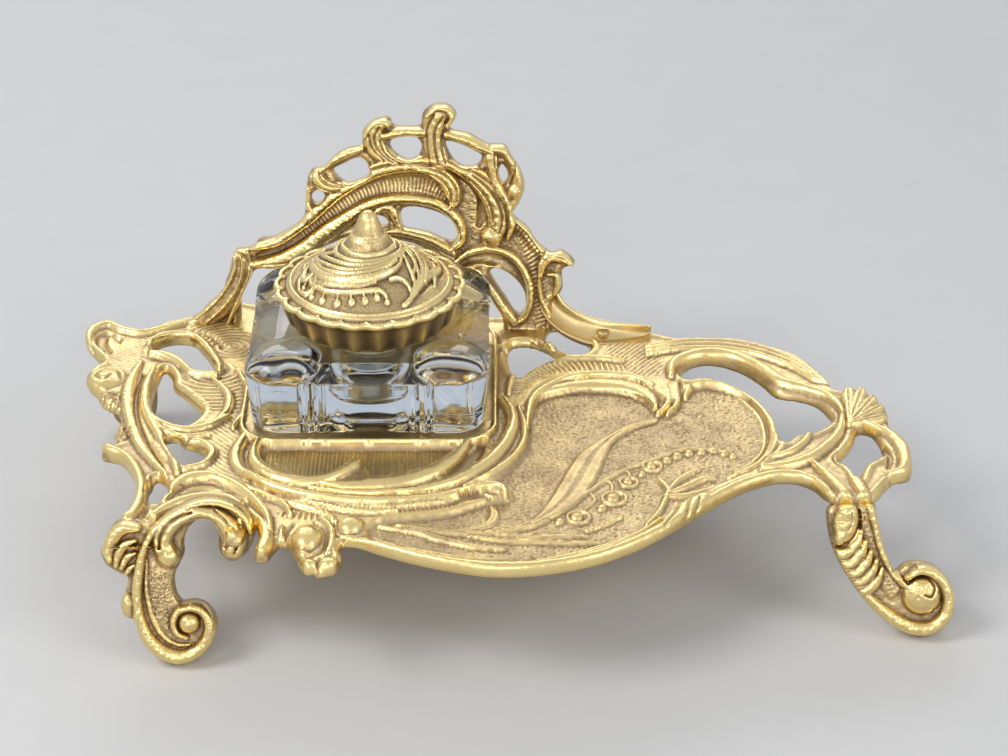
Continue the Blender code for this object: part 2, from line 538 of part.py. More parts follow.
def block(name, low, high):
    """A box between two corners."""
    work = bmesh.new()
    bmesh.ops.create_cube(work, size=1.0)
    size = Vector(high) - Vector(low)
    bmesh.ops.scale(work, vec=size, verts=work.verts)
    mesh = bpy.data.meshes.new(name)
    work.to_mesh(mesh)
    work.free()
    return add_object(name, mesh, Matrix.Translation((Vector(low) + Vector(high)) / 2), cutters)


def rounded_square(work, width, height):
    """Make a square block with rounded upright edges, as the glass has."""
    bmesh.ops.create_cube(work, size=1.0)
    bmesh.ops.scale(work, vec=(width, width, height), verts=work.verts)
    upright = [edge for edge in work.edges
               if abs(edge.verts[0].co.z - edge.verts[1].co.z) > height / 2]
    bmesh.ops.bevel(work, geom=upright, offset=well_corner, segments=corner_steps, profile=0.5,
                    affect="EDGES")


def square_block(name, width, low, high):
    """A rounded square block round the glass's axis, between two heights."""
    work = bmesh.new()
    rounded_square(work, width, high - low)
    mesh = bpy.data.meshes.new(name)
    work.to_mesh(mesh)
    work.free()
    return add_object(name, mesh, Matrix.Translation((well_x, well_y, (low + high) / 2)), cutters)


def finish(thing, look):
    """Shade a finished piece and give it its material."""
    thing.data.materials.clear()
    thing.data.materials.append(look)
    thing.data.shade_smooth()
    thing.data.set_sharp_from_angle(angle=smooth_turn)
    return thing


def on_plan(shares):
    """A drawn point on the plan, in metres."""
    return tuple(share * plan_square for share in shares)


brass = material("gilt_brass", (0.62, 0.44, 0.17), 0.34, 1.0)
lid_brass = material("lid_brass", (0.50, 0.34, 0.13), 0.36, 1.0)
fixing_brass = material("fixing_brass", (0.52, 0.40, 0.18), 0.40, 1.0)
clear_glass = material("clear_glass", (0.86, 0.90, 0.92), 0.03, 0.0, 1.0)


# Planes

gallery_plane = (Matrix.Translation((0, gallery_back, tray_level + gap))
                 @ Matrix.Rotation(gallery_turn, 4, "Z")
                 @ Matrix.Rotation(math.pi / 2 - gallery_lean, 4, "X"))


def foot_plane(shares, faces_back):
    """The leaning plane that a foot is drawn in, standing on the desk."""
    x, y = on_plan(shares)
    turn = math.pi if faces_back else 0
    return (Matrix.Translation((x, y, 0)) @ Matrix.Rotation(turn, 4, "Z")
            @ Matrix.Rotation(math.pi / 2 - foot_lean, 4, "X"))


# Each foot: its outline, its place, whether it faces the back, where its flange is and its hand

feet = {
    "left_front_foot": (left_foot_shares, left_front_foot_shares, False, left_front_top_share, 1),
    "right_front_foot": (right_foot_shares, right_front_foot_shares, False,
                         right_front_top_share, 1),
    "left_rear_foot": (rear_foot_shares, left_rear_foot_shares, True, rear_top_share, 1),
    "right_rear_foot": (rear_foot_shares, right_rear_foot_shares, True, rear_top_share, -1),
}


def lug_box(place_shares, faces_back, top_share, side):
    """The corners of a foot's flange, and the axis of its screw."""
    x, y = on_plan(place_shares)
    inward = -1 if faces_back else 1
    middle_x = x + inward * side * top_share * foot_rise
    plane_y = y + inward * foot_top * math.tan(foot_lean)
    end_y = plane_y + inward * lug_length
    low = (middle_x - lug_width / 2, min(plane_y, end_y), foot_top - lug_thickness)
    high = (middle_x + lug_width / 2, max(plane_y, end_y), foot_top)
    return low, high, (middle_x, end_y - inward * screw_from_edge)


# Where the gallery's tabs lie on the tray

def tab_place(share):
    """The middle of a tab behind the gallery, at a place along it."""
    along = share * plan_square
    foot = Vector((0, gallery_back)) + Matrix.Rotation(gallery_turn, 2) @ Vector((along, 0))
    return foot.x, foot.y + gallery_thickness / 2 + pad_length / 2


tabs = {
    "left_rivet": tab_place(left_tab_share),
    "middle_rivet": tab_place(middle_tab_share),
    "right_rivet": on_plan(right_tab_shares),
}


# The tray

def make_arch():
    """The C-scroll over the left front foot, clear of the foot's top."""
    plane = foot_plane(left_front_foot_shares, False)
    drawn, route = [[(across * plan_square, up * foot_rise) for across, up in shares]
                    for shares in (arch_shares, arch_ridge_shares)]
    arch = cut_plate("arch", [drawn], foot_thickness, plane, cutters)
    face = plane @ Matrix.Translation((0, 0, foot_thickness / 2))
    bar = ridge("arch_ridge", [(x, y, 0) for x, y in route], tray_line, face, ridge_end_share)
    arch = combine(arch, bar, "UNION")
    foot_side = on_plan(left_front_foot_shares)[0] + arch_hang_share * plan_square
    below = block("below", (-beyond, -beyond, 0), (foot_side, beyond, plate_bottom + gap))
    return combine(arch, below, "DIFFERENCE")


def make_tray():
    """The pierced plate, with its dish, its channel, its seat for the glass and its ornament."""
    outlines = [[on_plan(point) for point in outline]
                for outline in [tray_outline_shares] + tray_opening_shares]
    tray = cut_plate("tray", outlines, plate_thickness,
                     Matrix.Translation((0, 0, tray_level - plate_thickness / 2)), parts)
    for name, shares, depth in [("dish", pan_shares, pan_depth),
                                ("channel", channel_shares, channel_depth)]:
        sunk = cut_plate(name, [[on_plan(point) for point in shares]], depth + overrun,
                         Matrix.Translation((0, 0, tray_level + (overrun - depth) / 2)), cutters)
        tray = combine(tray, sunk, "DIFFERENCE")
    room_width = well_width + 2 * seat_clearance
    seat = square_block("seat", room_width + 2 * seat_margin, tray_level - plate_thickness / 2,
                        seat_floor + seat_lip)
    tray = combine(tray, seat, "UNION")
    dish_floor = tray_level - pan_depth
    for table, level in [(tray_ridge_shares, tray_level - tray_sink),
                         (dish_ridge_shares, dish_floor + tray_sink)]:
        for number, (radius, route) in enumerate(table):
            bar = ridge(f"ridge_{number}", [(*on_plan(point), 0) for point in route], radius,
                        Matrix.Translation((0, 0, level)), ridge_end_share)
            tray = combine(tray, bar, "UNION")
    leaf = cut_plate("leaf", [[on_plan(point) for point in leaf_shares]], 2 * leaf_height,
                     Matrix.Translation((0, 0, dish_floor)), cutters)
    tray = combine(tray, leaf, "UNION")
    for shares, radius, height, level in [(knob_shares, knob_radius, knob_height, tray_level),
                                          (bell_shares, bell_radius, bell_height, dish_floor)]:
        for number, point in enumerate(shares):
            knob = dome(f"knob_{number}", (*on_plan(point), level), radius, height)
            tray = combine(tray, knob, "UNION")
    tray = combine(tray, make_arch(), "UNION")
    room = square_block("room", room_width, seat_floor, seat_floor + overrun)
    tray = combine(tray, room, "DIFFERENCE")
    for outline, place, faces_back, top_share, side in feet.values():
        axis = lug_box(place, faces_back, top_share, side)[2]
        hole = rod("hole", screw_radius + gap, plate_bottom - overrun,
                   plate_bottom + thread_depth + gap, axis, fixing_steps, cutters)
        tray = combine(tray, hole, "DIFFERENCE")
    for axis in tabs.values():
        hole = rod("hole", rivet_radius + gap, plate_bottom - overrun, tray_level + overrun, axis,
                   fixing_steps, cutters)
        tray = combine(tray, hole, "DIFFERENCE")
    return finish(tray, brass)


# The gallery

def make_gallery():
    """The pierced upright along the back, with its strap and the tabs it is riveted by."""
    outlines = [[on_plan(point) for point in outline]
                for outline in [gallery_outline_shares] + gallery_opening_shares]
    gallery = cut_plate("gallery", outlines, gallery_thickness, gallery_plane, parts)
    face = gallery_plane @ Matrix.Translation((0, 0, gallery_thickness / 2 - ridge_sink))
    for number, (radius, route) in enumerate(gallery_ridge_shares):
        bar = ridge(f"ridge_{number}", [(*on_plan(point), 0) for point in route], radius, face,
                    ridge_end_share)
        gallery = combine(gallery, bar, "UNION")
    strap = ridge("strap", [on_plan(point) for point in strap_shares], strap_radius,
                  Matrix.Translation((0, 0, tray_level)), strap_end_share)
    gallery = combine(gallery, strap, "UNION")
    floor = tray_level + gap
    pad_top = floor + pad_thickness
    for x, y in tabs.values():
        front = y - pad_length / 2 - gallery_thickness / 2
        tab = block("tab", (x - pad_width / 2, front, floor),
                    (x + pad_width / 2, y + pad_length / 2, pad_top))
        gallery = combine(gallery, tab, "UNION")
    under = block("under", (-beyond, -beyond, floor - overrun), (beyond, beyond, floor))
    gallery = combine(gallery, under, "DIFFERENCE")
    for axis in tabs.values():
        hole = rod("hole", rivet_radius + gap, floor - overrun, pad_top + gap, axis,
                   fixing_steps, cutters)
        gallery = combine(gallery, hole, "DIFFERENCE")
        room = rod("room", rivet_head_radius + gap, pad_top, pad_top + rivet_room, axis,
                   fixing_steps, cutters)
        gallery = combine(gallery, room, "DIFFERENCE")
    return finish(gallery, brass)


# The feet

def make_foot(name, outline_shares, place_shares, faces_back, top_share, side, ridge_shares):
    """A scroll foot, flat where it stands and where it meets the tray."""
    plane = foot_plane(place_shares, faces_back)
    drawn = [(side * x * foot_rise, y * foot_rise) for x, y in outline_shares]
    if side < 0:
        drawn.reverse()
    foot = cut_plate(name, [drawn], foot_thickness, plane, parts)
    if ridge_shares:
        face = plane @ Matrix.Translation((0, 0, foot_thickness / 2 - ridge_sink))
        bar = ridge("bar", [(side * x * foot_rise, y * foot_rise, 0) for x, y in ridge_shares],
                    fine_ridge, face, ridge_end_share)
        foot = combine(foot, bar, "UNION")
    low, high, axis = lug_box(place_shares, faces_back, top_share, side)
    foot = combine(foot, block("lug", low, high), "UNION")
    between = block("between", (-beyond, -beyond, 0), (beyond, beyond, foot_top))
    foot = combine(foot, between, "INTERSECT")
    hole = rod("hole", screw_radius + gap, low[2] - gap, high[2] + overrun, axis,
               fixing_steps, cutters)
    foot = combine(foot, hole, "DIFFERENCE")
    room = rod("room", screw_head_radius + gap, low[2] - overrun, low[2], axis,
               fixing_steps, cutters)
    foot = combine(foot, room, "DIFFERENCE")
    return finish(foot, brass)


# Fixings

def make_screw(name, axis):
    """A cheese-headed screw, up through a foot's flange into the tray."""
    under = foot_top - lug_thickness - gap
    shank = rod(name, screw_radius, under - screw_head_height / 2, plate_bottom + thread_depth,
                axis, fixing_steps, parts)
    head = rod("head", screw_head_radius, under - screw_head_height, under, axis,
               fixing_steps, cutters)
    return finish(combine(shank, head, "UNION"), fixing_brass)


def make_rivet(name, axis):
    """A rivet through one of the gallery's tabs and the tray."""
    top = tray_level + gap + pad_thickness + gap
    under = plate_bottom - gap
    rivet = rod(name, rivet_radius, under - rivet_head_height / 2, top + rivet_head_height / 2,
                axis, fixing_steps, parts)
    for low in (top, under - rivet_head_height):
        head = rod("head", rivet_head_radius, low, low + rivet_head_height, axis,
                   fixing_steps, cutters)
        rivet = combine(rivet, head, "UNION")
    return finish(rivet, fixing_brass)


# The glass inkwell

def make_inkwell():
    """A square glass block with a sloping shoulder, a round neck and a round ink chamber."""
    work = bmesh.new()
    rounded_square(work, well_width, well_wall_height)
    top = [face for face in work.faces if face.normal.z > level_share]
    raised = bmesh.ops.extrude_face_region(work, geom=top)
    corners = [item for item in raised["geom"] if isinstance(item, bmesh.types.BMVert)]
    shrink = 1 - 2 * well_shoulder_inset / well_width
    bmesh.ops.scale(work, vec=(shrink, shrink, 1), verts=corners)
    bmesh.ops.translate(work, vec=(0, 0, well_shoulder_rise), verts=corners)
    bmesh.ops.delete(work, geom=top, context="FACES_ONLY")
    bmesh.ops.recalc_face_normals(work, faces=work.faces)
    mesh = bpy.data.meshes.new("inkwell")
    work.to_mesh(mesh)
    work.free()
    middle = Vector((well_x, well_y))
    well = add_object("inkwell", mesh,
                      Matrix.Translation((*middle, well_base + well_wall_height / 2)), parts)
    neck = rod("neck", neck_radius, well_shoulder, neck_top, middle, round_steps, cutters)
    well = combine(well, neck, "UNION")
    bore = rod("bore", well_bore, well_base + well_floor, neck_top + overrun, middle,
               round_steps, cutters)
    well = combine(well, bore, "DIFFERENCE")
    for turn in range(4):
        for side in (-1, 1):
            spot = (middle + Matrix.Rotation(turn * math.pi / 2, 2)
                    @ Vector((side * groove_offset, well_width / 2)))
            groove = rod("groove", groove_radius, well_base - overrun, well_shoulder + overrun,
                         spot, fixing_steps, cutters)
            well = combine(well, groove, "DIFFERENCE")
    return finish(well, clear_glass)


# The lid

# The cone of the lid, from the finial's tip to the border: shares of the rim's radius, and of
# the cone's height above the border
cone_shares = [
    (0.000, 1.000), (0.075, 0.985), (0.130, 0.930), (0.150, 0.850), (0.185, 0.690),
    (0.265, 0.590), (0.390, 0.520), (0.440, 0.440), (0.570, 0.330), (0.700, 0.235),
    (0.820, 0.160), (0.845, 0.175), (0.870, 0.150),
]
border_share = 0.060        # the border's upper edge, as a share of the cone's height
hollow_share = 0.160        # the hollow's roof, as a share of the cone's height


def make_lid():
    """A turned cap with a stepped cone, a scalloped border and a hollow over the neck."""
    outer = [(radius * lid_rim_radius, lid_border + height * lid_cone_height)
             for radius, height in cone_shares]
    outer.append((lid_rim_radius, lid_border + border_share * lid_cone_height))
    outer.append((lid_rim_radius, lid_border - border_share * lid_cone_height))
    outer.append((lid_rim_radius - lid_wall / 2, lid_border - 2 * border_share * lid_cone_height))
    outer.append((lid_skirt_radius + lid_wall / 4, lid_foot + lid_skirt_height / 3))
    outer.append((lid_skirt_radius, lid_foot))
    roof = lid_border + hollow_share * lid_cone_height
    inner = [(lid_skirt_radius - lid_wall, lid_foot), (lid_skirt_radius - lid_wall, lid_border),
             (lid_skirt_radius - 2 * lid_wall, roof), (0.0, roof)]
    profile = bpy.data.meshes.new("lid")
    points = [(radius, 0, height - lid_foot) for radius, height in outer + inner]
    profile.from_pydata(points, [(i, i + 1) for i in range(len(points) - 1)], [])
    lid = add_object("lid", profile, Matrix.Translation((well_x, well_y, lid_foot)), parts)
    turned = lid.modifiers.new("turned", "SCREW")
    turned.steps = 2 * scallop_count
    turned.render_steps = turned.steps
    turned.use_merge_vertices = True
    turned.merge_threshold = weld
    lid = flatten(lid)
    middle = (lid_rim_radius + lid_skirt_radius) / 2
    for vert in lid.data.vertices:
        distance = math.hypot(vert.co.x, vert.co.y)
        if distance > middle:
            angle = math.atan2(vert.co.y, vert.co.x)
            share = 1 - scallop_depth * (1 - math.cos(scallop_count * angle)) / (2 * distance)
            vert.co.x *= share
            vert.co.y *= share
    return finish(lid, lid_brass)


make_tray()
make_gallery()
ridges = {"left_front_foot": left_foot_ridge_shares, "right_front_foot": right_foot_ridge_shares}
for name, (outline, place, faces_back, top_share, side) in feet.items():
    make_foot(name, outline, place, faces_back, top_share, side, ridges.get(name))
    make_screw(name + "_screw", lug_box(place, faces_back, top_share, side)[2])
for name, axis in tabs.items():
    make_rivet(name, axis)
make_inkwell()
make_lid()


# Stand the whole on the origin, under the middle of its box

def overall_box():
    """The lowest and highest corners of all the pieces."""
    bpy.context.view_layer.update()
    places = [thing.matrix_world @ vert.co for thing in parts.objects
              for vert in thing.data.vertices]
    low = Vector([min(place[i] for place in places) for i in range(3)])
    high = Vector([max(place[i] for place in places) for i in range(3)])
    return low, high


low, high = overall_box()
stand = bpy.data.objects.new("stand_origin", None)
parts.objects.link(stand)
for thing in list(parts.objects):
    if thing is not stand:
        thing.parent = stand
stand.location = (-(low.x + high.x) / 2, -(low.y + high.y) / 2, -low.z)
bpy.context.view_layer.update()
print("shift", tuple(round(value, 6) for value in stand.location))
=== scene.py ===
import math

import bpy
import numpy as np
from mathutils import Matrix, Vector


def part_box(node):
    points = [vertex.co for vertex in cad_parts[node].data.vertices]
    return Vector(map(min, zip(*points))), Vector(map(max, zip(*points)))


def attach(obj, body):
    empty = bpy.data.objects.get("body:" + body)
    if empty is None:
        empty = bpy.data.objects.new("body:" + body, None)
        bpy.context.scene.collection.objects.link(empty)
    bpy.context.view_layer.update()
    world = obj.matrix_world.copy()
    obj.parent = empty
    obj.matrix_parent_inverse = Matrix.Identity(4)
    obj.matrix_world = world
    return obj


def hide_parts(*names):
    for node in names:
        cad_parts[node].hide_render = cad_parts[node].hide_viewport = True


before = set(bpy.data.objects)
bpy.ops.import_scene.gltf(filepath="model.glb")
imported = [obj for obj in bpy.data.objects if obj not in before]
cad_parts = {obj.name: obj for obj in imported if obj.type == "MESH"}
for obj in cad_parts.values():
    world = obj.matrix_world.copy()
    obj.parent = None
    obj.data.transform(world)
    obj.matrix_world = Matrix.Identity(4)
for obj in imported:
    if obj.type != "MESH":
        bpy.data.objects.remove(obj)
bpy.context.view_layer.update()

# The dressed inkstand. Drawn sizes are millimetres on the inkstand's own plan, whose middle
# is found from the glass's box; everything is turned into metres when a mesh is made.

mm = 0.001
wellLow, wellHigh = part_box("inkwell")
wellPlan = (-31.8, 26.1)      # the glass's axis on the plan
planMiddle = ((wellLow.x + wellHigh.x) / 2 - wellPlan[0] * mm,
              (wellLow.y + wellHigh.y) / 2 - wellPlan[1] * mm)
plateTop = 30.0
toWorld = Matrix.Translation((planMiddle[0], planMiddle[1], 0)) @ Matrix.Scale(mm, 4)


# Curves and reliefs

def smoothPath(points, closed=False, step=0.2):
    # a smooth line through points; further columns, such as widths, run along with it
    p = np.array(points, float)
    if closed:
        p = np.vstack([p[-1:], p, p[:2]])
    chord = np.linalg.norm(np.diff(p[:, :2], axis=0), axis=1)
    gap = np.maximum(chord, 1e-6) ** 0.5
    slope = np.diff(p, axis=0) / gap[:, None]
    turn = np.empty_like(p)
    turn[1:-1] = ((slope[:-1] * gap[1:, None] + slope[1:] * gap[:-1, None])
                  / (gap[:-1] + gap[1:])[:, None])
    turn[0] = slope[0]
    turn[-1] = slope[-1]
    runs = []
    first, last = (1, len(p) - 2) if closed else (0, len(p) - 1)
    for i in range(first, last):
        s = np.linspace(0, 1, max(2, math.ceil(chord[i] / step)), endpoint=False)[:, None]
        runs.append((2 * s ** 3 - 3 * s ** 2 + 1) * p[i] + (s ** 3 - 2 * s ** 2 + s) * gap[i] * turn[i]
                    + (3 * s ** 2 - 2 * s ** 3) * p[i + 1] + (s ** 3 - s ** 2) * gap[i] * turn[i + 1])
    if not closed:
        runs.append(p[-1:])
    return np.vstack(runs)


def softStep(x, low, high):
    t = np.clip((x - low) / (high - low), 0, 1)
    return t * t * (3 - 2 * t)


def blur(grid, cells, turns=3):
    # running means; three of them come close to a bell curve
    half = int(cells / 2)
    width = 2 * half + 1
    if half < 1:
        return grid
    grid = np.asarray(grid, float)
    for axis in (0, 1):
        for turn in range(turns):
            wide = np.pad(grid, [(half + 1, half) if a == axis else (0, 0) for a in (0, 1)], mode="edge")
            run = np.cumsum(wide, axis=axis)
            if axis == 0:
                grid = (run[width:] - run[:-width]) / width
            else:
                grid = (run[:, width:] - run[:, :-width]) / width
    return grid


def grain(relief, size, seed):
    # rounded cast bumps about one size apart, with a spread of one
    raw = np.random.default_rng(seed).standard_normal(relief.shape)
    cells = size / relief.cell
    field = blur(raw, max(2, cells * 0.45), 1) - blur(raw, max(4, cells * 1.4), 1)
    return field / field.std()


class Relief:
    # a height above a drawing plane, worked in strokes like a modeller's tool

    def __init__(self, low, high, cell):
        self.cell = cell
        self.u = np.arange(low[0], high[0] + cell, cell)
        self.v = np.arange(low[1], high[1] + cell, cell)
        self.shape = (len(self.v), len(self.u))
        self.U, self.V = np.meshgrid(self.u, self.v)
        self.height = np.zeros(self.shape)
        self.edge = np.full(self.shape, -9.0)     # distance inside the outline
        self.ground = np.zeros(self.shape)        # how stippled the surface is

    def window(self, x0, x1, y0, y1):
        i0 = max(0, int((x0 - self.u[0]) / self.cell))
        i1 = min(self.shape[1], int((x1 - self.u[0]) / self.cell) + 2)
        j0 = max(0, int((y0 - self.v[0]) / self.cell))
        j1 = min(self.shape[0], int((y1 - self.v[0]) / self.cell) + 2)
        return slice(j0, max(j0, j1)), slice(i0, max(i0, i1))

    def track(self, path, reach):
        # for the cells within reach: place along the path, across it, past its ends
        rows, cols = self.window(path[:, 0].min() - reach, path[:, 0].max() + reach,
                                 path[:, 1].min() - reach, path[:, 1].max() + reach)
        U, V = self.U[rows, cols], self.V[rows, cols]
        best = np.full(U.shape, reach * reach)
        near = np.full(U.shape, -1)
        u0, v0 = self.u[cols.start], self.v[rows.start]
        for i, (x, y) in enumerate(path[:, :2]):
            a0 = max(0, int((x - reach - u0) / self.cell))
            b0 = max(0, int((y - reach - v0) / self.cell))
            a1 = int((x + reach - u0) / self.cell) + 2
            b1 = int((y + reach - v0) / self.cell) + 2
            part = (slice(b0, b1), slice(a0, a1))
            d2 = (U[part] - x) ** 2 + (V[part] - y) ** 2
            closer = d2 < best[part]
            best[part][closer] = d2[closer]
            near[part][closer] = i
        found = near >= 0
        i = near[found]
        flow = np.gradient(path[:, :2], axis=0)
        flow /= np.maximum(np.linalg.norm(flow, axis=1), 1e-9)[:, None]
        arc = np.concatenate([[0], np.cumsum(np.linalg.norm(np.diff(path[:, :2], axis=0), axis=1))])
        dx, dy = U[found] - path[i, 0], V[found] - path[i, 1]
        ahead = dx * flow[i, 0] + dy * flow[i, 1]
        across = dy * flow[i, 0] - dx * flow[i, 1]
        past = np.where(((i == 0) & (ahead < 0)) | ((i == len(path) - 1) & (ahead > 0)),
                        np.abs(ahead), 0)
        along = arc[i] + ahead
        return (rows, cols), found, i, along, across, past

    def stroke(self, points, closed=False, grow=False):
        path = smoothPath(points, closed)
        width = path[:, 2]
        place, found, i, along, across, past = self.track(path, width.max())
        w = np.maximum(width[i], 0.05)
        s = np.hypot(across, past) / w
        if grow:
            inside = self.edge[place]
            inside[found] = np.maximum(inside[found], w * (1 - s))
        return place, found, along, across / w, s

    def bead(self, points, lift, base=0.0, grow=False, closed=False, flat=2.0):
        # a raised bar; a flat over 2 squares its section
        place, found, along, side, s = self.stroke(points, closed, grow)
        here = self.height[place]
        top = base + lift * np.sqrt(np.clip(1 - np.clip(s, 0, 1) ** flat, 0, 1))
        old = here[found]
        here[found] = np.where(s < 1, np.maximum(old, top), old)

    def hollow(self, points, depth, base=0.0, soft=0.35):
        # a rounded channel cut to its own depth
        place, found, along, side, s = self.stroke(points)
        here = self.height[place]
        cut = base - depth * np.clip(1 - s * s, 0, 1)
        mask = softStep(1 - s, 0, soft)
        here[found] = here[found] * (1 - mask) + np.minimum(here[found], cut) * mask

    def crease(self, points, depth):
        place, found, along, side, s = self.stroke(points)
        here = self.height[place]
        here[found] -= depth * np.clip(1 - s, 0, 1) ** 1.5

    def ribs(self, points, rise, pitch, skew=0.0, bow=0.0):
        # ribs across a band, slanted by skew and bowed like a shell's
        place, found, along, side, s = self.stroke(points)
        here = self.height[place]
        phase = (along + skew * side + bow * side * side) / pitch
        here[found] += (rise * (np.abs(np.sin(math.pi * phase)) - 0.6)
                        * np.clip(1 - np.clip(s, 0, 1) ** 6, 0, 1))

    def flutes(self, points, rise, count):
        # ribs that run along a band
        place, found, along, side, s = self.stroke(points)
        here = self.height[place]
        here[found] += (rise * (np.abs(np.sin(math.pi * count * (side + 1) / 2)) - 0.5)
                        * np.clip(1 - np.clip(s, 0, 1) ** 6, 0, 1))

    def leaf(self, points, lift, base=0.0, vein=0.3, edge=0.0, grow=False):
        # a blade with a sunk vein and, if asked, a raised edge
        place, found, along, side, s = self.stroke(points, grow=grow)
        here = self.height[place]
        top = base + lift * np.clip(1 - np.clip(s, 0, 1) ** 2.5, 0, 1) ** 0.6
        top -= vein * np.exp(-(side / 0.16) ** 2)
        top += edge * np.exp(-((s - 0.82) / 0.14) ** 2)
        here[found] = np.where(s < 1, np.maximum(here[found], top), here[found])

    def boss(self, x, y, radius, lift, base=0.0, grow=False, tall=1.0, turn=0.0):
        rows, cols = self.window(x - radius * 2, x + radius * 2, y - radius * 2, y + radius * 2)
        dx, dy = self.U[rows, cols] - x, self.V[rows, cols] - y
        a = dx * math.cos(turn) + dy * math.sin(turn)
        b = (dy * math.cos(turn) - dx * math.sin(turn)) / tall
        s = np.hypot(a, b) / radius
        dome = base + lift * np.sqrt(np.clip(1 - s * s, 0, 1))
        here = self.height[rows, cols]
        here[:] = np.where(s < 1, np.maximum(here, dome), here)
        if grow:
            edge = self.edge[rows, cols]
            edge[:] = np.maximum(edge, radius * (1 - s))

    def mask(self, points, soft=0.8, closed=True):
        # 1 inside a drawn area and 0 outside, with a soft border
        path = smoothPath(points, closed)
        inside = fillPolygon(self, [path])
        place, found, i, along, across, past = self.track(path, soft)
        far = np.where(inside, soft, -soft).astype(float)
        near = far[place]
        near[found] = np.sign(near[found]) * np.hypot(across, past)
        return softStep(far, -soft, soft)

    def hatch(self, mask, rise, pitch, angle=0.0):
        t = self.U * math.cos(math.radians(angle)) + self.V * math.sin(math.radians(angle))
        self.height += mask * rise * (np.abs(np.sin(math.pi * t / pitch)) - 0.6)

    def rings(self, mask, rise, pitch, x, y):
        t = np.hypot(self.U - x, self.V - y)
        self.height += mask * rise * (np.abs(np.sin(math.pi * t / pitch)) - 0.6)

    def outline(self, loops):
        # sets the distance inside the outline, for the first loop less the others
        paths = [smoothPath(loop, closed=True, step=0.1) for loop in loops]
        inside = fillPolygon(self, paths)
        reach = 3.0
        gap = np.full(self.shape, reach)
        for path in paths:
            place, found, i, along, across, past = self.track(path, reach)
            near = gap[place]
            near[found] = np.minimum(near[found], np.hypot(across, past))
        self.edge = np.where(inside, gap, -gap)


def fillPolygon(relief, paths):
    # which cells lie inside closed lines, by counting crossings along each row
    inside = np.zeros(relief.shape, bool)
    a = np.vstack([p[:, :2] for p in paths])
    b = np.vstack([np.roll(p[:, :2], -1, axis=0) for p in paths])
    for j, y in enumerate(relief.v):
        hit = (a[:, 1] > y) != (b[:, 1] > y)
        if hit.any():
            x = a[hit, 0] + (y - a[hit, 1]) * (b[hit, 0] - a[hit, 0]) / (b[hit, 1] - a[hit, 1])
            inside[j] = (np.searchsorted(np.sort(x), relief.u) % 2).astype(bool)
    return inside


def sample(grid, relief, x, y):
    # bilinear reading of a grid
    a = np.clip((x - relief.u[0]) / relief.cell, 0, relief.shape[1] - 1.001)
    b = np.clip((y - relief.v[0]) / relief.cell, 0, relief.shape[0] - 1.001)
    i, j = a.astype(int), b.astype(int)
    fa, fb = a - i, b - j
    return ((grid[j, i] * (1 - fa) + grid[j, i + 1] * fa) * (1 - fb)
            + (grid[j + 1, i] * (1 - fa) + grid[j + 1, i + 1] * fa) * fb)


def wearAndPaintedShadeOf(relief, height):
    # near 1 on ridges, near 0 in hollows: painted shade darkening the hollows, together with the wear of the ridges
    weight = (relief.edge > -0.5).astype(float)
    parts = []
    for radius in (0.9, 2.4):
        cells = radius / relief.cell
        mean = blur(height * weight, cells) / np.maximum(blur(weight, cells), 0.05)
        parts.append((height - mean) / radius)
    return 0.2 + 0.8 * np.clip(0.45 + 0.95 * parts[0] + 0.6 * parts[1], 0, 1)


def newMesh(name, points, faces, matrix):
    mesh = bpy.data.meshes.new(name)
    mesh.from_pydata(points.tolist(), [], faces)
    mesh.transform(matrix)
    made = bpy.data.objects.new(name, mesh)
    bpy.context.scene.collection.objects.link(made)
    mesh.shade_smooth()
    return made


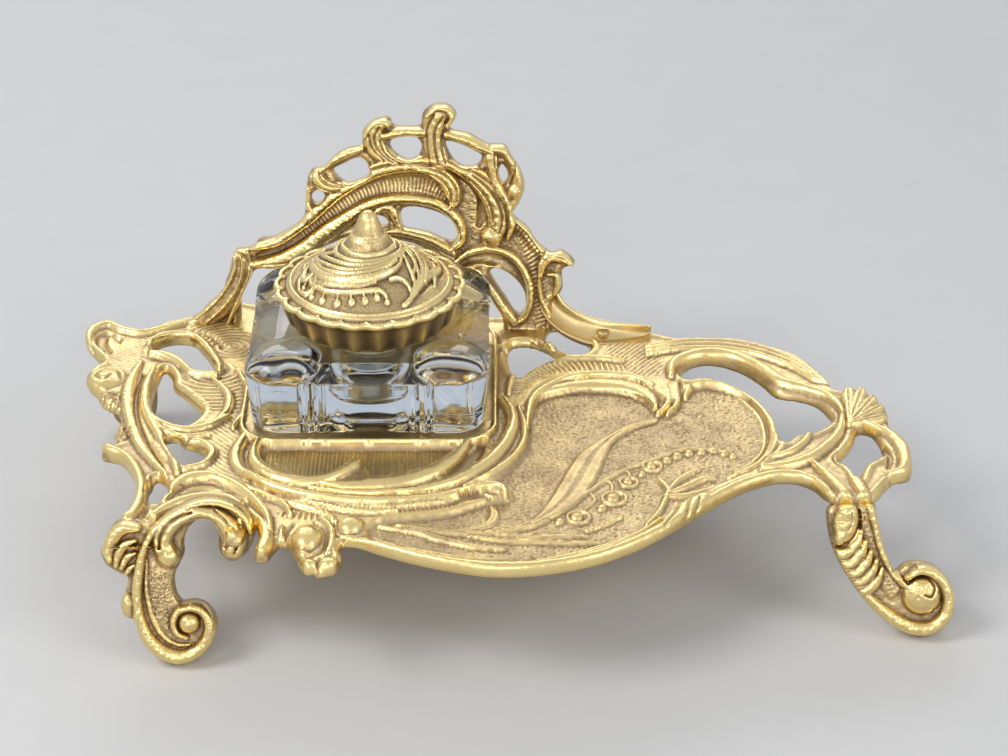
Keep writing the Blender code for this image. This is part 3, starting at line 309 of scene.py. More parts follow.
def castPlate(name, relief, matrix, thickness, rounding, back=None, limit=190000):
    # the relief as a closed casting: its front, its rounded edge and its back
    cell = relief.cell
    edge = relief.edge
    middle = (edge[:-1, :-1] + edge[1:, :-1] + edge[:-1, 1:] + edge[1:, 1:]) / 4
    keep = middle > 0
    keep[0], keep[-1], keep[:, 0], keep[:, -1] = False, False, False, False
    for turn in range(3):
        a, b, c, d = keep[:-1, :-1], keep[:-1, 1:], keep[1:, :-1], keep[1:, 1:]
        cross = (a & d & ~b & ~c) | (b & c & ~a & ~d)
        a |= cross
        b |= cross
        c |= cross
        d |= cross
    used = np.zeros(relief.shape, int)
    for part in (used[:-1, :-1], used[1:, :-1], used[:-1, 1:], used[1:, 1:]):
        part += keep
    x, y = relief.U.copy(), relief.V.copy()
    rim = (used > 0) & (used < 4)
    slopeV, slopeU = np.gradient(blur(edge, 3), cell)
    px, py = x[rim], y[rim]
    for turn in range(4):
        off = sample(edge, relief, px, py)
        gu, gv = sample(slopeU, relief, px, py), sample(slopeV, relief, px, py)
        size = np.maximum(gu * gu + gv * gv, 0.2)
        px, py = px - off * gu / size, py - off * gv / size
    x[rim], y[rim] = px, py
    inset = np.clip(edge, 0, rounding) / rounding
    drop = rounding * (1 - np.sqrt(np.clip(1 - (1 - inset) ** 2, 0, 1)))
    drop[rim] = rounding
    front = relief.height.copy()
    front[rim] = sample(relief.height, relief, px, py)
    # painted shade in the hollows and wear on the ridges, lighter still towards the rounded edges
    wear = np.clip(wearAndPaintedShadeOf(relief, relief.height) + 0.25 * (1 - inset) ** 2, 0, 1)
    top = front - drop
    ids = np.full(relief.shape, -1)
    ids[used > 0] = np.arange((used > 0).sum())
    count = int((used > 0).sum())
    mask = used > 0
    if back is None:
        rear = np.full(relief.shape, -thickness)
    else:
        rear = -thickness + back
    rear = rear + np.where(rim, rounding * 0.6, 0.6 * drop)
    points = np.vstack([np.column_stack([x[mask], y[mask], top[mask]]),
                        np.column_stack([x[mask], y[mask], np.minimum(rear, top - 0.4)[mask]])])
    q = np.column_stack([ids[:-1, :-1][keep], ids[:-1, 1:][keep], ids[1:, 1:][keep], ids[1:, :-1][keep]])
    starts = np.concatenate([q[:, 0], q[:, 1], q[:, 2], q[:, 3]])
    ends = np.concatenate([q[:, 1], q[:, 2], q[:, 3], q[:, 0]])
    total = count
    lone = ~np.isin(ends * total + starts, starts * total + ends)
    s, e = starts[lone], ends[lone]
    ring = np.unique(s)
    order = {int(k): 2 * count + n for n, k in enumerate(ring)}
    middlePoints = points[ring].copy()
    middlePoints[:, 2] = (points[ring, 2] + points[ring + count, 2]) / 2
    points = np.vstack([points, middlePoints])
    mid = np.array([order[int(k)] for k in s]), np.array([order[int(k)] for k in e])
    faces = (q.tolist() + (q[:, ::-1] + count).tolist()
             + np.column_stack([e, s, mid[0], mid[1]]).tolist()
             + np.column_stack([mid[1], mid[0], s + count, e + count]).tolist())
    made = newMesh(name, points, faces, Matrix.Identity(4))
    triangles = 2 * len(faces)
    if triangles > limit:
        thin = made.modifiers.new("thin", "DECIMATE")
        thin.ratio = limit / triangles
        pick(made)
        bpy.ops.object.modifier_apply(modifier=thin.name)
    co = np.zeros(len(made.data.vertices) * 3)
    made.data.vertices.foreach_get("co", co)
    co = co.reshape(-1, 3)
    front = softStep(co[:, 2], -0.6 * thickness, -0.35 * thickness)
    # the front keeps its painted shade and wear; the back and the lower sides get an even 0.42
    writeAttribute(made, "wear", 0.42 + (sample(wear, relief, co[:, 0], co[:, 1]) - 0.42) * front)
    writeAttribute(made, "ground", sample(relief.ground, relief, co[:, 0], co[:, 1]) * front
                   + 0.5 * (1 - front))
    made.data.transform(matrix)
    made.data.shade_smooth()
    print(name, len(made.data.polygons), "faces")
    return made


def writeAttribute(thing, name, values):
    layer = thing.data.attributes.new(name, "FLOAT", "POINT")
    layer.data.foreach_set("value", values.astype(np.float32))


def pick(*things):
    bpy.ops.object.select_all(action="DESELECT")
    for thing in things:
        thing.select_set(True)
    bpy.context.view_layer.objects.active = things[0]


def joinAll(things):
    pick(*things)
    bpy.ops.object.join()
    return things[0]


# Outlines, in millimetres on the plan

trayOutline = [
    (-93, -5), (-92.5, -8), (-88.5, -10), (-85.5, -15), (-83.5, -21), (-83, -28), (-83.8, -34),
    (-85.2, -37), (-84, -38.6), (-79, -38.6), (-74, -38), (-71.8, -36.6), (-70.5, -34.5),
    (-67.5, -32.8), (-64.5, -33.5), (-63, -36.5), (-62, -41), (-60.5, -45), (-58, -44.8),
    (-57, -41.9), (-56, -38.4), (-55, -38.6), (-54.2, -41.6), (-53.8, -45), (-54.6, -49.4),
    (-53.6, -52), (-51.8, -51.8), (-50.4, -48.4), (-49, -45.6), (-47.2, -46.4), (-45.4, -50.6),
    (-44.4, -54.2), (-42.8, -57), (-41.2, -56.8), (-40.2, -57.7), (-38.8, -57.7), (-36.8, -57),
    (-35.5, -54), (-35.2, -51.4), (-36, -48.6), (-35.2, -45.8), (-32.6, -45.9), (-27.2, -49), (-19, -53),
    (-11, -55.9), (-3, -57.8), (6, -57.5), (14, -55.6), (22, -52.2), (30, -46.7), (37, -40.2),
    (42.5, -34.3), (47.5, -29), (53, -23.8), (58, -20.3), (63, -18.3), (67, -19), (70.3, -22),
    (72, -25.2), (74, -27.2), (78, -27.8), (82.6, -27.2), (84.8, -24.9), (86.2, -22.2),
    (88.8, -18.8), (92, -17.5), (93.5, -14), (93.8, -9), (94.2, -4.9), (93.3, -1), (91.5, 3.5),
    (90.5, 7), (91, 12), (89.5, 16.5), (87.5, 20.5), (85.3, 23.8), (83, 23.3), (80.5, 22.5),
    (78.5, 25.5), (77.2, 30), (75, 36), (71, 41.5), (65.5, 45.5), (59.5, 48.3), (52, 48),
    (44, 49), (38.5, 51.5), (33, 54.5), (24, 57), (15.2, 63.3), (11, 65.1), (6.2, 64.2),
    (3.5, 61.1), (-2, 60.4), (-20, 61.6), (-42, 64), (-60, 66.5), (-68, 69), (-73, 67.5),
    (-75.5, 65), (-77.5, 62.2), (-80.5, 60.1), (-85, 58), (-87.8, 55), (-90, 52.5), (-93.5, 54),
    (-97, 57.1), (-101, 58.1), (-103.8, 55.1), (-104, 50), (-102.5, 44.5), (-100, 40.5),
    (-98.5, 37), (-100.5, 34), (-101.3, 30.1), (-99.8, 25), (-97.3, 21), (-95.5, 16.6),
    (-91.5, 13), (-90.3, 8), (-91, 2), (-90.2, -2.5),
]

trayOpenings = [
    [
        (-86.3, 41), (-85.5, 46), (-82, 48.5), (-77.5, 48.1), (-74.5, 43.5), (-71.5, 37.1),
        (-70, 32), (-72, 30.2), (-75, 31), (-77, 34.1), (-79.5, 38.5), (-83, 41.1),
    ],
    [
        (-82.5, 33.9), (-80.3, 29.9), (-79.5, 25.1), (-76.5, 21.1), (-73.5, 16.4), (-71.8, 13.1),
        (-73, 8.1), (-75, 5.8), (-78, 7.1), (-81, 10), (-83.8, 14.5), (-84, 22), (-83.5, 28),
    ],
    [
        (-79, -0.9), (-76.5, 0), (-74, -3), (-71, -4.5), (-69, -7), (-69.3, -11.5), (-72, -12.8),
        (-75.3, -10.8), (-77.3, -6.9),
    ],
    [
        (-79, -18), (-76.8, -20), (-75.8, -24.6), (-75.5, -27.2), (-77, -29.1), (-79.2, -29.5),
        (-80.1, -27.1), (-80.2, -23),
    ],
    [
        (1.8, 46.1), (5.5, 47.5), (9.5, 45), (13.8, 38.6), (10, 36.3), (6.5, 33), (3.5, 28.8),
        (1.8, 33.1),
    ],
    [
        (12, 55.5), (15, 54.8), (19.3, 50.1), (21.3, 45.6), (20, 41.8), (17, 40.8), (13.5, 43.6),
        (11, 47), (10.5, 52),
    ],
    [
        (43, 32.1), (45.5, 36.1), (50, 38), (54.5, 36.5), (59, 32.5), (62.5, 27), (65.5, 21.5),
        (70, 20), (74, 17.5), (76.5, 12.9), (77.3, 9), (75.5, 5.5), (72, 2.2), (68, 1),
        (65.5, -2), (64, 3), (63.7, 9.1), (62, 15), (59.5, 20.1), (56, 24.5), (52, 27.5),
        (48, 28.9), (44.2, 28.2),
    ],
    [
        (83.5, 4), (86, 2.5), (87.3, -1.9), (87.8, -7.1), (85.5, -9.9), (83, -12.3), (81.5, -16),
        (80.3, -19.5), (78.9, -15.9), (76.5, -10.5), (79, -6.5), (81.5, -1.1), (82.5, 2.6),
    ],
]

dishLine = [
    (8, 24), (11, 27.5), (16, 29), (24, 29.5), (30, 28), (35, 24.1), (38, 19.5), (40, 17.8),
    (42, 19.6), (44, 23.9), (48, 26.3), (53, 25), (58, 20.5), (61.5, 14), (62.7, 7), (62.3, 0),
    (60.8, -7), (58, -13), (53, -17), (47, -22), (41, -30), (35, -37.5), (28, -44), (20, -49.5),
    (11, -53), (2, -54.3), (-7, -52.9), (-16, -50), (-24, -46.5), (-29, -43.5), (-30.2, -40),
    (-28, -36), (-22, -34.4), (-14, -33.2), (-8, -30.4), (-3, -27.4), (1.4, -26.2), (1.4, -23.4), (-3, -21.5),
    (-6, -20.8), (-2.2, -17.6), (2.9, -10.2), (5.5, -2.4), (5.9, 5),
    (5.8, 15),
]


# The tray

trayMake = {
    "cell": 0.27,           # spacing of the worked surface
    "thickness": 3.2,
    "rounding": 1.3,        # radius of the plate's edges
    "roll": 0.55,           # height of the roll along every edge
    "dishDepth": 1.5,
    "stipple": 0.09,        # height of the dish's stippled ground
    "platform": 1.0,        # height of the glass's seat over the plate
    "lip": 1.75,            # and of the lip round it
    "thinner": 1.1,         # how far the edges stand up from the back
}
dishFloor = -trayMake["dishDepth"]
tray = Relief((-107, -60), (97, 72), trayMake["cell"])
tray.outline([trayOutline] + trayOpenings)
tray.height += trayMake["roll"] * np.exp(-((tray.edge - 1.5) / 0.9) ** 2)

# left wing
tray.rings(tray.mask([(-78, 57), (-70, 58), (-62, 48), (-62, 40), (-69, 38), (-76, 44)], 1.5),
           0.45, 1.5, -67, 45)
tray.rings(tray.mask([(-78, 33), (-70, 36), (-62, 30), (-60, 18), (-66, 10), (-72, 16), (-76, 24)], 1.5),
           0.45, 1.7, -70, 33)
tray.hatch(tray.mask([(-99, 37), (-94, 46), (-88, 50), (-86, 43), (-89, 36), (-94, 33)], 1.2), 0.22, 1.1, 55)
tray.hatch(tray.mask([(-69, 8), (-62, 12), (-60, 2), (-61, -14), (-66, -18), (-68, -8)], 1.2),
           0.35, 1.2, 40)
tray.hatch(tray.mask([(-66, -17), (-58, -18), (-48, -24), (-44, -27), (-54, -29), (-62, -26)], 1.0),
           0.35, 1.2, 60)
for line in [
    [(-100, 38, 0.7), (-103, 45, 1.2), (-102.6, 53, 1.4), (-99, 56, 1.4), (-95, 53, 1.3), (-90, 51.4, 1.2),
     (-86, 53, 1.0), (-80, 56.5, 0.8)],
    [(-98, 42, 0.4), (-99.6, 47, 0.8), (-98.5, 51, 0.8), (-95, 48, 0.5)],
]:
    tray.bead(line, 1.3, 0.1)
tray.hollow([(-97, 42, 1.0), (-99.5, 47, 1.8), (-99, 51.5, 1.8), (-96, 50, 1.0)], 1.1)
tray.boss(-96, 28.5, 4.6, 1.5, 0.0, tall=1.15, turn=-0.4)
tray.crease([(-92.5, 27, 0.7), (-94, 31, 0.8), (-97, 31.8, 0.8), (-98.6, 28.6, 0.8), (-96.4, 26.4, 0.6),
             (-95, 28.4, 0.4)], 0.9)
tray.bead([(-69, 32, 1.0), (-71.5, 37.5, 1.9), (-74.5, 44, 2.1), (-78.5, 48.6, 2.1), (-84, 48.6, 1.6),
           (-87.5, 45.5, 0.8)], 2.0, 0.1)
tray.crease([(-69, 44, 0.8), (-73.5, 51, 1.0), (-80, 53.2, 1.0), (-86, 51, 0.7)], 0.8)
tray.bead([(-86.5, 40, 0.7), (-82.5, 38.6, 1.5), (-78, 34.6, 1.8), (-74.6, 30.6, 1.7), (-69.5, 28.6, 0.9)],
          1.7, 0.1)
for line in [
    [(-88.5, 36, 0.6), (-90, 27, 1.3), (-90, 19, 1.5), (-88, 8, 1.5), (-84.5, -4, 1.4), (-80, -13, 1.0),
     (-77, -18, 0.6)],
    [(-85, 33, 0.5), (-86, 24, 1.0), (-85, 14, 1.2), (-81, 2, 1.2), (-76.5, -9, 1.1), (-74.5, -17, 0.7)],
    [(-85, 12, 0.6), (-80.5, 6, 1.0), (-75, 3, 1.2), (-70, 4.4, 1.2), (-65, 9, 0.8)],
    [(-84, 9, 0.5), (-79, 2, 0.9), (-74, -0.6, 0.9), (-69, 0.6, 0.6)],
    [(-74.6, -5, 0.6), (-71, -2.6, 1.2), (-67.4, -7.4, 1.4), (-69, -13, 1.1), (-73, -15.4, 0.7)],
    [(-70, 27, 0.5), (-66, 20, 1.1), (-65.6, 12, 1.1), (-68, 6, 0.6)],
    [(-64, 30, 0.5), (-61.5, 22, 0.9), (-61.5, 12, 0.9), (-63.5, 4, 0.5)],
]:
    tray.bead(line, 1.25, 0.1)
tray.hollow([(-87.5, 31, 0.5), (-88, 20, 0.8), (-86.3, 8, 0.9), (-82.4, -4, 0.8), (-78.4, -13, 0.5)], 0.9)
pitted = tray.mask([(-97, 20), (-92, 22), (-90.6, 10), (-87, 0), (-90, -3), (-94, 6)], 1.0)
tray.height += pitted * 0.28 * grain(tray, 1.4, 5)
tray.ground += pitted
tray.bead([(-92, -6, 1.2), (-88, -9.5, 1.9), (-84.4, -17, 2.1), (-82.3, -28, 2.1), (-83.2, -35, 1.9),
           (-84.5, -40, 1.3)], 1.7, 0.2)
tray.crease([(-80.3, -18, 0.5), (-79.4, -28, 0.7), (-80.5, -37, 0.5)], 0.8)

# the scrolls over the left front foot and the front border
tray.bead([(-76, -31, 0.9), (-74.6, -24, 1.5), (-71.4, -19.6, 1.8), (-66, -19.4, 1.7), (-60.4, -23.6, 1.5),
           (-56, -29.4, 1.2), (-52.5, -37, 1.0), (-51.5, -43, 0.7)], 1.9, 0.2)
tray.hollow([(-71.5, -26.5, 1.4), (-69, -24.6, 2.1), (-65.6, -25, 2.0), (-62, -28, 1.2)], 0.9)
tray.bead([(-78, -37, 1.0), (-75.6, -33.4, 1.5), (-71.5, -29.8, 1.7), (-66, -28.4, 1.8), (-61, -30, 1.6),
           (-58.6, -34, 1.4), (-58.4, -39, 1.0)], 1.9, 0.3)
for line in [
    [(-68, -19, 0.4), (-64, -22, 0.6), (-60, -26, 0.6), (-57.6, -29, 0.4)],
    [(-60, -22, 0.4), (-54, -26.4, 0.7), (-49, -31, 0.8), (-47.6, -35, 0.5)],
    [(-50.6, -29, 0.5), (-44, -32, 0.9), (-40, -34.6, 0.9), (-37.4, -38, 0.5)],
    [(-44, -29.6, 0.4), (-37, -32.4, 0.8), (-30, -34, 0.7), (-24, -33.6, 0.4)],
]:
    tray.bead(line, 1.0, 0.2)
tray.leaf([(-60.4, -43.5, 1.4), (-60.6, -38, 1.9), (-60, -33, 1.2)], 1.2, 0.3)
tray.bead([(-56.4, -34.6, 0.8), (-53.4, -40, 1.4), (-52.3, -45, 1.7), (-52.8, -49.6, 1.6), (-53, -51, 0.9)], 1.7, 0.1)
# two knobs in rings, and the lip below them
tray.boss(-43.3, -44.8, 3.2, 2.5, 0.2, tall=1.5)
tray.boss(-34, -39.6, 2.8, 2.0, 0.2, tall=1.25)
for line in [
    [(-46.6, -38.4, 0.5), (-47.8, -42, 0.7), (-47.5, -47, 0.8), (-45.4, -51.2, 0.8), (-42.6, -52, 0.8),
     (-39.9, -49.6, 0.7), (-39.1, -45, 0.7), (-39.7, -40.6, 0.7), (-42, -37.6, 0.5)],
    [(-37.6, -37.6, 0.4), (-37.9, -41.4, 0.6), (-36.4, -44.2, 0.6), (-33, -44.8, 0.6), (-30.2, -42, 0.5)],
]:
    tray.crease(line, 0.9)
for line in [
    [(-49, -40, 0.4), (-49, -44, 0.6), (-47.4, -50, 0.7)],
    [(-41, -36, 0.4), (-38.4, -40, 0.6), (-37.8, -46, 0.7), (-38.4, -51, 0.6)],
]:
    tray.bead(line, 0.8, 0.2)
tray.boss(-42.2, -55.4, 1.9, 1.4, -0.1)
tray.boss(-38, -55.2, 2.3, 1.7, -0.1)
tray.crease([(-40.4, -57.6, 0.5), (-40.4, -55, 0.6), (-40.2, -52.6, 0.3)], 0.9)
tray.ribs([(-49, -34, 1.6), (-44, -35, 1.6), (-40, -34.8, 1.4)], 0.5, 1.3)

# the seat: a ribbed channel in front of the glass, with scrolls round it
channel = tray.mask([(-55, -4.6), (-55.8, -10), (-53.8, -14.4), (-50, -17.2), (-46, -18.4), (-42, -18),
                     (-39, -16), (-37, -12.6), (-34, -11), (-31.6, -13.6), (-30.4, -17.4), (-25, -18),
                     (-19, -15.8), (-14, -10.4), (-11, -4.6), (-22, -4.4), (-40, -4.4)], 0.7)
tray.height = tray.height * (1 - channel) - 0.95 * channel
tray.hatch(channel, 0.22, 0.95)
tray.hollow([(-4.6, -2, 1.0), (-6.6, -8, 2.0), (-9.6, -14, 2.0), (-14, -19.4, 1.2)], 1.5)
tray.hatch(tray.mask([(-4.4, -6), (-0.6, -3), (1, 4), (0, 12), (-2, 12), (-1.8, 3)], 0.8), 0.35, 1.0, 45)
for line in [
    [(-58, 6, 0.8), (-60.6, -1, 1.3), (-61.8, -8, 1.6), (-60.8, -14, 1.6), (-58, -19, 1.2)],
    [(-20, -24.4, 0.5), (-13, -20.6, 0.9), (-9, -16.6, 0.8), (-6.4, -13, 0.4)],
]:
    tray.bead(line, 1.3, 0.1)
for line in [
    [(-56.6, -1, 0.7), (-57.6, -8, 1.3), (-56.6, -13, 1.8), (-52.6, -18, 2.1), (-47, -20.7, 2.1),
     (-41.8, -20.8, 1.7), (-38.6, -18.8, 1.5), (-36, -16, 1.6), (-34.3, -13.6, 1.7), (-33.6, -12.8, 0.8)],
    [(-41.5, -23, 0.7), (-36, -23.2, 1.6), (-30, -22, 2.3), (-23.6, -20.6, 2.6), (-17.4, -17.2, 2.4),
     (-12.4, -11.6, 1.9), (-9.4, -6, 1.3), (-8, -2, 0.7)],
    [(-44, -25, 0.4), (-36, -26.6, 0.9), (-28, -26.8, 1.0), (-20, -25.2, 0.6)],
]:
    tray.bead(line, 1.9, 0.1)
tray.bead([(-59, -18, 0.6), (-54, -22.4, 1.4), (-48, -26, 1.8), (-42, -28.4, 2.0), (-35, -29.8, 2.0),
           (-28, -30.4, 1.9), (-20, -30, 1.8), (-13, -28.2, 1.7), (-8, -25.6, 1.4), (-3.8, -23.6, 1.3),
           (-0.8, -24.6, 1.1), (0.6, -27, 0.5)], 2.2, 0.1)
tray.crease([(-54, -25, 0.3), (-46, -28.6, 0.6), (-36, -31.2, 0.7), (-24, -31.6, 0.7), (-13, -29.6, 0.5)], 0.7)
tray.bead([(-27, -26.6, 0.4), (-20, -25.8, 1.0), (-13, -22.4, 1.4), (-7, -16.6, 1.7), (-2, -9, 1.7),
           (0.6, -2, 1.6), (2, 5, 1.5), (1.6, 12, 1.3), (-0.6, 18, 0.8)], 1.9, 0.1)
tray.bead([(-9, -22.6, 0.4), (-3, -16.6, 0.8), (2, -9.4, 0.9), (4.6, -2, 0.9), (4.8, 5, 0.9), (3.4, 14, 0.6)],
          1.2, -0.2)
tray.hollow([(-9.4, -27.4, 1.0), (-6, -26.2, 1.3), (-3.4, -26.6, 0.8)], 1.1)
tray.ribs([(-44, -31, 0.8), (-34, -32.4, 1.2), (-24, -32.6, 1.2), (-12, -30.6, 0.9)], 0.4, 1.0)

# the seat's platform, a rounded square under the glass
gapX, gapY = np.abs(tray.U - wellPlan[0]), np.abs(tray.V - wellPlan[1])
half, corner = 30.2, 9.0
cornerX, cornerY = np.maximum(gapX - half + corner, 0), np.maximum(gapY - half + corner, 0)
outside = np.maximum(np.hypot(cornerX, cornerY) - corner, np.maximum(gapX, gapY) - half)
under = softStep(-outside, -0.35, 0.35)
inner = softStep(-outside, 0.75, 1.15)
seat = trayMake["lip"] + (trayMake["platform"] - trayMake["lip"]) * inner
tray.height = tray.height * (1 - under) + seat * under

# right wing
flow = tray.mask([(34, 42), (38, 47), (48, 48), (60, 47), (70, 40), (76, 30), (79, 24), (74, 26), (67, 33),
                  (58, 40), (48, 41), (40, 38)], 0.8)
tray.height = tray.height * (1 - 0.5 * flow)
for shift in (0.0, 1.9, 3.8):
    tray.bead([(35, 43.6 - shift, 0.5), (44, 46.8 - shift, 0.9), (54, 47 - shift * 1.05, 1.0),
               (62, 44.4 - shift * 1.1, 1.0), (69.4, 38.6 - shift * 1.1, 0.9), (75, 31 - shift * 0.9, 0.8),
               (78, 25, 0.4)], 1.1, 0.1)
tray.bead([(40.3, 29, 0.8), (41.2, 34.4, 1.5), (44.8, 38.2, 2.0), (50.4, 40.2, 2.1), (57, 38, 2.1),
           (62.6, 32, 2.1), (67, 25.2, 2.0), (72, 22, 1.8), (77, 18, 1.5), (79.4, 12.6, 1.0),
           (79.8, 9, 0.5)], 2.1, 0.1)
tray.hatch(tray.mask([(25, 46), (33, 47), (38, 41), (38, 31), (33, 30), (27, 37)], 1.2), 0.4, 1.15, -35)
tray.leaf([(56, -13, 0.7), (61, -9, 2.0), (64.4, -1, 2.4), (64.6, 9, 2.0), (62, 18, 1.4), (57, 24, 0.5)],
          0.9, -0.2, vein=0.7)
tray.bead([(80, 11, 0.6), (78.4, 2, 1.3), (74.6, -5, 1.5), (70, -10.4, 1.6), (64, -14, 1.3), (59, -15, 0.7)],
          1.6, 0.1)
tray.bead([(72, 4, 0.5), (70, -2, 1.0), (66, -7, 1.0), (61, -10, 0.5)], 1.1, 0.0)
for x, y in [(82.6, 21.6), (85.8, 21.4), (88.2, 17.6), (89.2, 12.8), (89.6, 8)]:
    # a ruffled shell of five lobes
    tray.leaf([(81, 4.6, 0.6), (0.45 * 81 + 0.55 * x, 0.45 * 4.6 + 0.55 * y, 1.4), (0.15 * 81 + 0.85 * x,
               0.15 * 4.6 + 0.85 * y, 1.9), (x, y, 1.2)], 1.5, 0.2, vein=0.5)
tray.bead([(84.6, 5, 0.8), (89.2, 1, 1.5), (92, -5, 1.9), (92.4, -11, 1.9), (91, -16, 1.6), (88, -18.6, 0.9)],
          1.8, 0.1)
tray.hollow([(88, -4, 0.5), (89, -9, 1.0), (88, -14, 0.7)], 0.7)
for line in [
    [(71, -13, 0.6), (74, -19, 1.3), (76.4, -25, 1.5), (77.4, -29, 1.2)],
    [(76.4, -10, 0.6), (79, -17, 1.3), (80.6, -24, 1.5), (81.4, -29, 1.2)],
]:
    tray.bead(line, 1.5, 0.1)

# the ring's band and the tail of the strap, where they lie on the tray
tray.bead([(-4, 44, 0.8), (2, 42.6, 1.4), (8, 43, 1.6), (13, 46, 1.6), (15, 50.6, 1.4), (14, 55, 0.9)], 1.3, 0.1)
tray.ribs([(-2, 47, 1.2), (4, 46, 1.6), (9, 48, 1.6), (11, 52, 1.2)], 0.4, 1.3)

# the dish: its floor, then its ornament
dish = tray.mask(dishLine, 0.9)
tray.height = tray.height * (1 - dish) + dishFloor * dish
tray.bead([(-34, -45.5, 0.9), (-27, -48.3, 1.4), (-19, -51.8, 1.6), (-11, -54.7, 1.7), (-3, -56.2, 1.7),
           (6, -56, 1.7), (14, -54.2, 1.7), (22, -50.8, 1.7), (29, -46, 1.7), (36, -39.5, 1.7),
           (41.5, -33.4, 1.7), (46.5, -28, 1.7), (52, -22.9, 1.7), (57.5, -19.2, 1.7), (63, -17.2, 1.7),
           (68, -18, 1.6), (71.4, -21.6, 1.4), (73.6, -26.5, 1.0)], 1.2, 0.1)
tray.bead([(-29, -43.4, 0.3), (-20, -48.4, 0.6), (-13, -51.2, 0.7), (-5, -53.2, 0.7), (3, -53.4, 0.7),
           (10, -51.8, 0.7), (18, -48.4, 0.7), (26, -43.8, 0.7), (31, -39.6, 0.6), (35, -34.6, 0.4)],
          0.9, dishFloor + 0.3)
tray.bead([(-22, -45.8, 0.25), (-15, -48.4, 0.4), (-7, -50.4, 0.4), (2, -50.8, 0.3)], 0.5, dishFloor)
tray.leaf([(34.6, -44.6, 1.2), (37, -40.4, 2.6), (39.6, -36, 3.3), (42.4, -31.4, 2.8), (45.4, -27.4, 1.3)],
          1.1, 0.5, vein=0.0)
for line in [
    [(39.4, -29.6, 0.3), (38, -35, 0.7), (35.4, -40.6, 0.5)],
    [(41.6, -29.6, 0.3), (40.6, -35.6, 0.7), (37.6, -41.6, 0.5)],
    [(44, -29, 0.3), (42.6, -34, 0.7), (39.4, -39, 0.5)],
]:
    tray.crease(line, 0.9)
tray.bead([(7.4, 19.6, 0.6), (11, 23.2, 1.4), (16.4, 25.8, 2.0), (22, 26.6, 2.4), (27.6, 26, 2.6),
           (32.2, 23.6, 2.4), (35, 19.6, 1.6), (36, 15.4, 0.6)], 1.5, dishFloor + 0.5, flat=2.6)
tray.bead([(5.4, 4, 0.4), (5.8, 12, 0.8), (7, 19, 1.0), (11.4, 25.4, 1.0), (17, 29.4, 1.0), (24, 30.6, 1.0),
           (31, 29, 1.0), (35.4, 25.4, 0.8)], 1.2, -0.1)
tray.ribs([(2.4, 21, 1.2), (4.6, 28, 2.2), (9, 32.6, 2.6), (15.4, 34.6, 2.7), (22, 34.8, 2.4), (29, 33.6, 1.4)],
          0.55, 1.35, skew=0.7)
tray.bead([(1, 20, 0.6), (2.4, 29, 1.0), (7, 35.4, 1.1), (14, 38, 1.1), (22, 38.4, 1.0), (29, 36.8, 0.6)],
          1.1, 0.0)
for line in [
    [(37, 29.4, 0.5), (39, 24.6, 0.9), (39.4, 19, 0.9), (38, 14.6, 0.7), (36.4, 12.2, 0.4)],
    [(40, 28.4, 0.4), (41.4, 22.4, 0.8), (41, 16.4, 0.7), (38.8, 12.6, 0.3)],
    [(43.2, 30.4, 0.7), (44.4, 25.4, 1.1), (43.4, 20.6, 0.5)],
    [(45, 27.6, 0.5), (50, 28, 0.9), (55.2, 25, 0.9), (59.2, 20, 0.9), (62, 13, 0.9), (63.2, 6, 0.9),
     (62.8, 0, 0.9), (61.2, -6, 0.9), (58.6, -11, 0.8), (54.6, -15, 0.6), (51, -18, 0.3)],
]:
    tray.bead(line, 1.2, dishFloor + 0.5)
tray.crease([(42.4, 27, 0.5), (42.6, 23, 0.9), (42.4, 19.6, 0.4)], 0.9)
tray.bead([(56.6, 20.4, 0.3), (60.2, 12, 0.5), (61, 4, 0.5), (60, -4, 0.5), (56.6, -10.4, 0.5), (53, -14, 0.2)],
          0.6, dishFloor + 0.1)

dishGround = dish * (tray.height < dishFloor + 0.25)
spotted = softStep(blur(dishGround, 3), 0.3, 0.9)
tray.height += trayMake["stipple"] * spotted * grain(tray, 0.9, 11)
tray.ground += spotted

# lily of the valley across the dish
for line in [
    [(6.4, -36.4, 0.6), (10.4, -31.6, 2.2), (13.6, -26.4, 3.3), (16.2, -20, 3.8), (18.4, -13, 3.8),
     (20.6, -6.4, 3.2), (23, -1.6, 2.1), (26.2, 2.8, 1.1), (30.6, 7.2, 0.9), (36, 10.2, 0.4)],
]:
    tray.leaf(line, 1.0, dishFloor, vein=0.35, edge=0.22)
for line in [
    [(-28, -37.6, 0.3), (-23.1, -38.8, 0.9), (-18.6, -40, 1.1), (-15.2, -42.3, 1.2), (-11.6, -43.9, 1.1),
     (-7, -45.9, 0.8), (0, -47.2, 0.3)],
    [(-24, -37, 0.3), (-15, -39.6, 0.9), (-5, -40.4, 1.0), (2, -39, 0.9), (6, -37.4, 0.7), (10, -35, 0.3)],
    [(-8, -41.6, 0.3), (0, -43.4, 0.9), (8, -43.8, 1.0), (15, -44.4, 0.8), (21, -44.4, 0.3)],
    [(-4, -40.4, 0.3), (4, -41.4, 0.7), (11, -41.8, 0.8), (18.6, -41.6, 0.3)],
    [(-3.1, -28.8, 0.2), (-2.2, -32, 1.1), (-2.8, -35.4, 1.3), (-5, -37.8, 1.1), (-9, -39.4, 0.8), (-14, -40.4, 0.3)],
    [(18, -39.6, 0.3), (22, -37, 0.8), (26.4, -33.6, 0.3)],
]:
    tray.leaf(line, 0.85, dishFloor, vein=0.3)
tray.bead([(2, -38.4, 0.5), (9.6, -33.4, 0.55), (15, -28.2, 0.55), (19.4, -22.4, 0.5), (23.4, -17.2, 0.5),
           (28, -12.6, 0.5), (33, -9.4, 0.5), (38, -5.6, 0.45), (43, -3.4, 0.45), (52, -4.8, 0.35)],
          0.75, dishFloor)
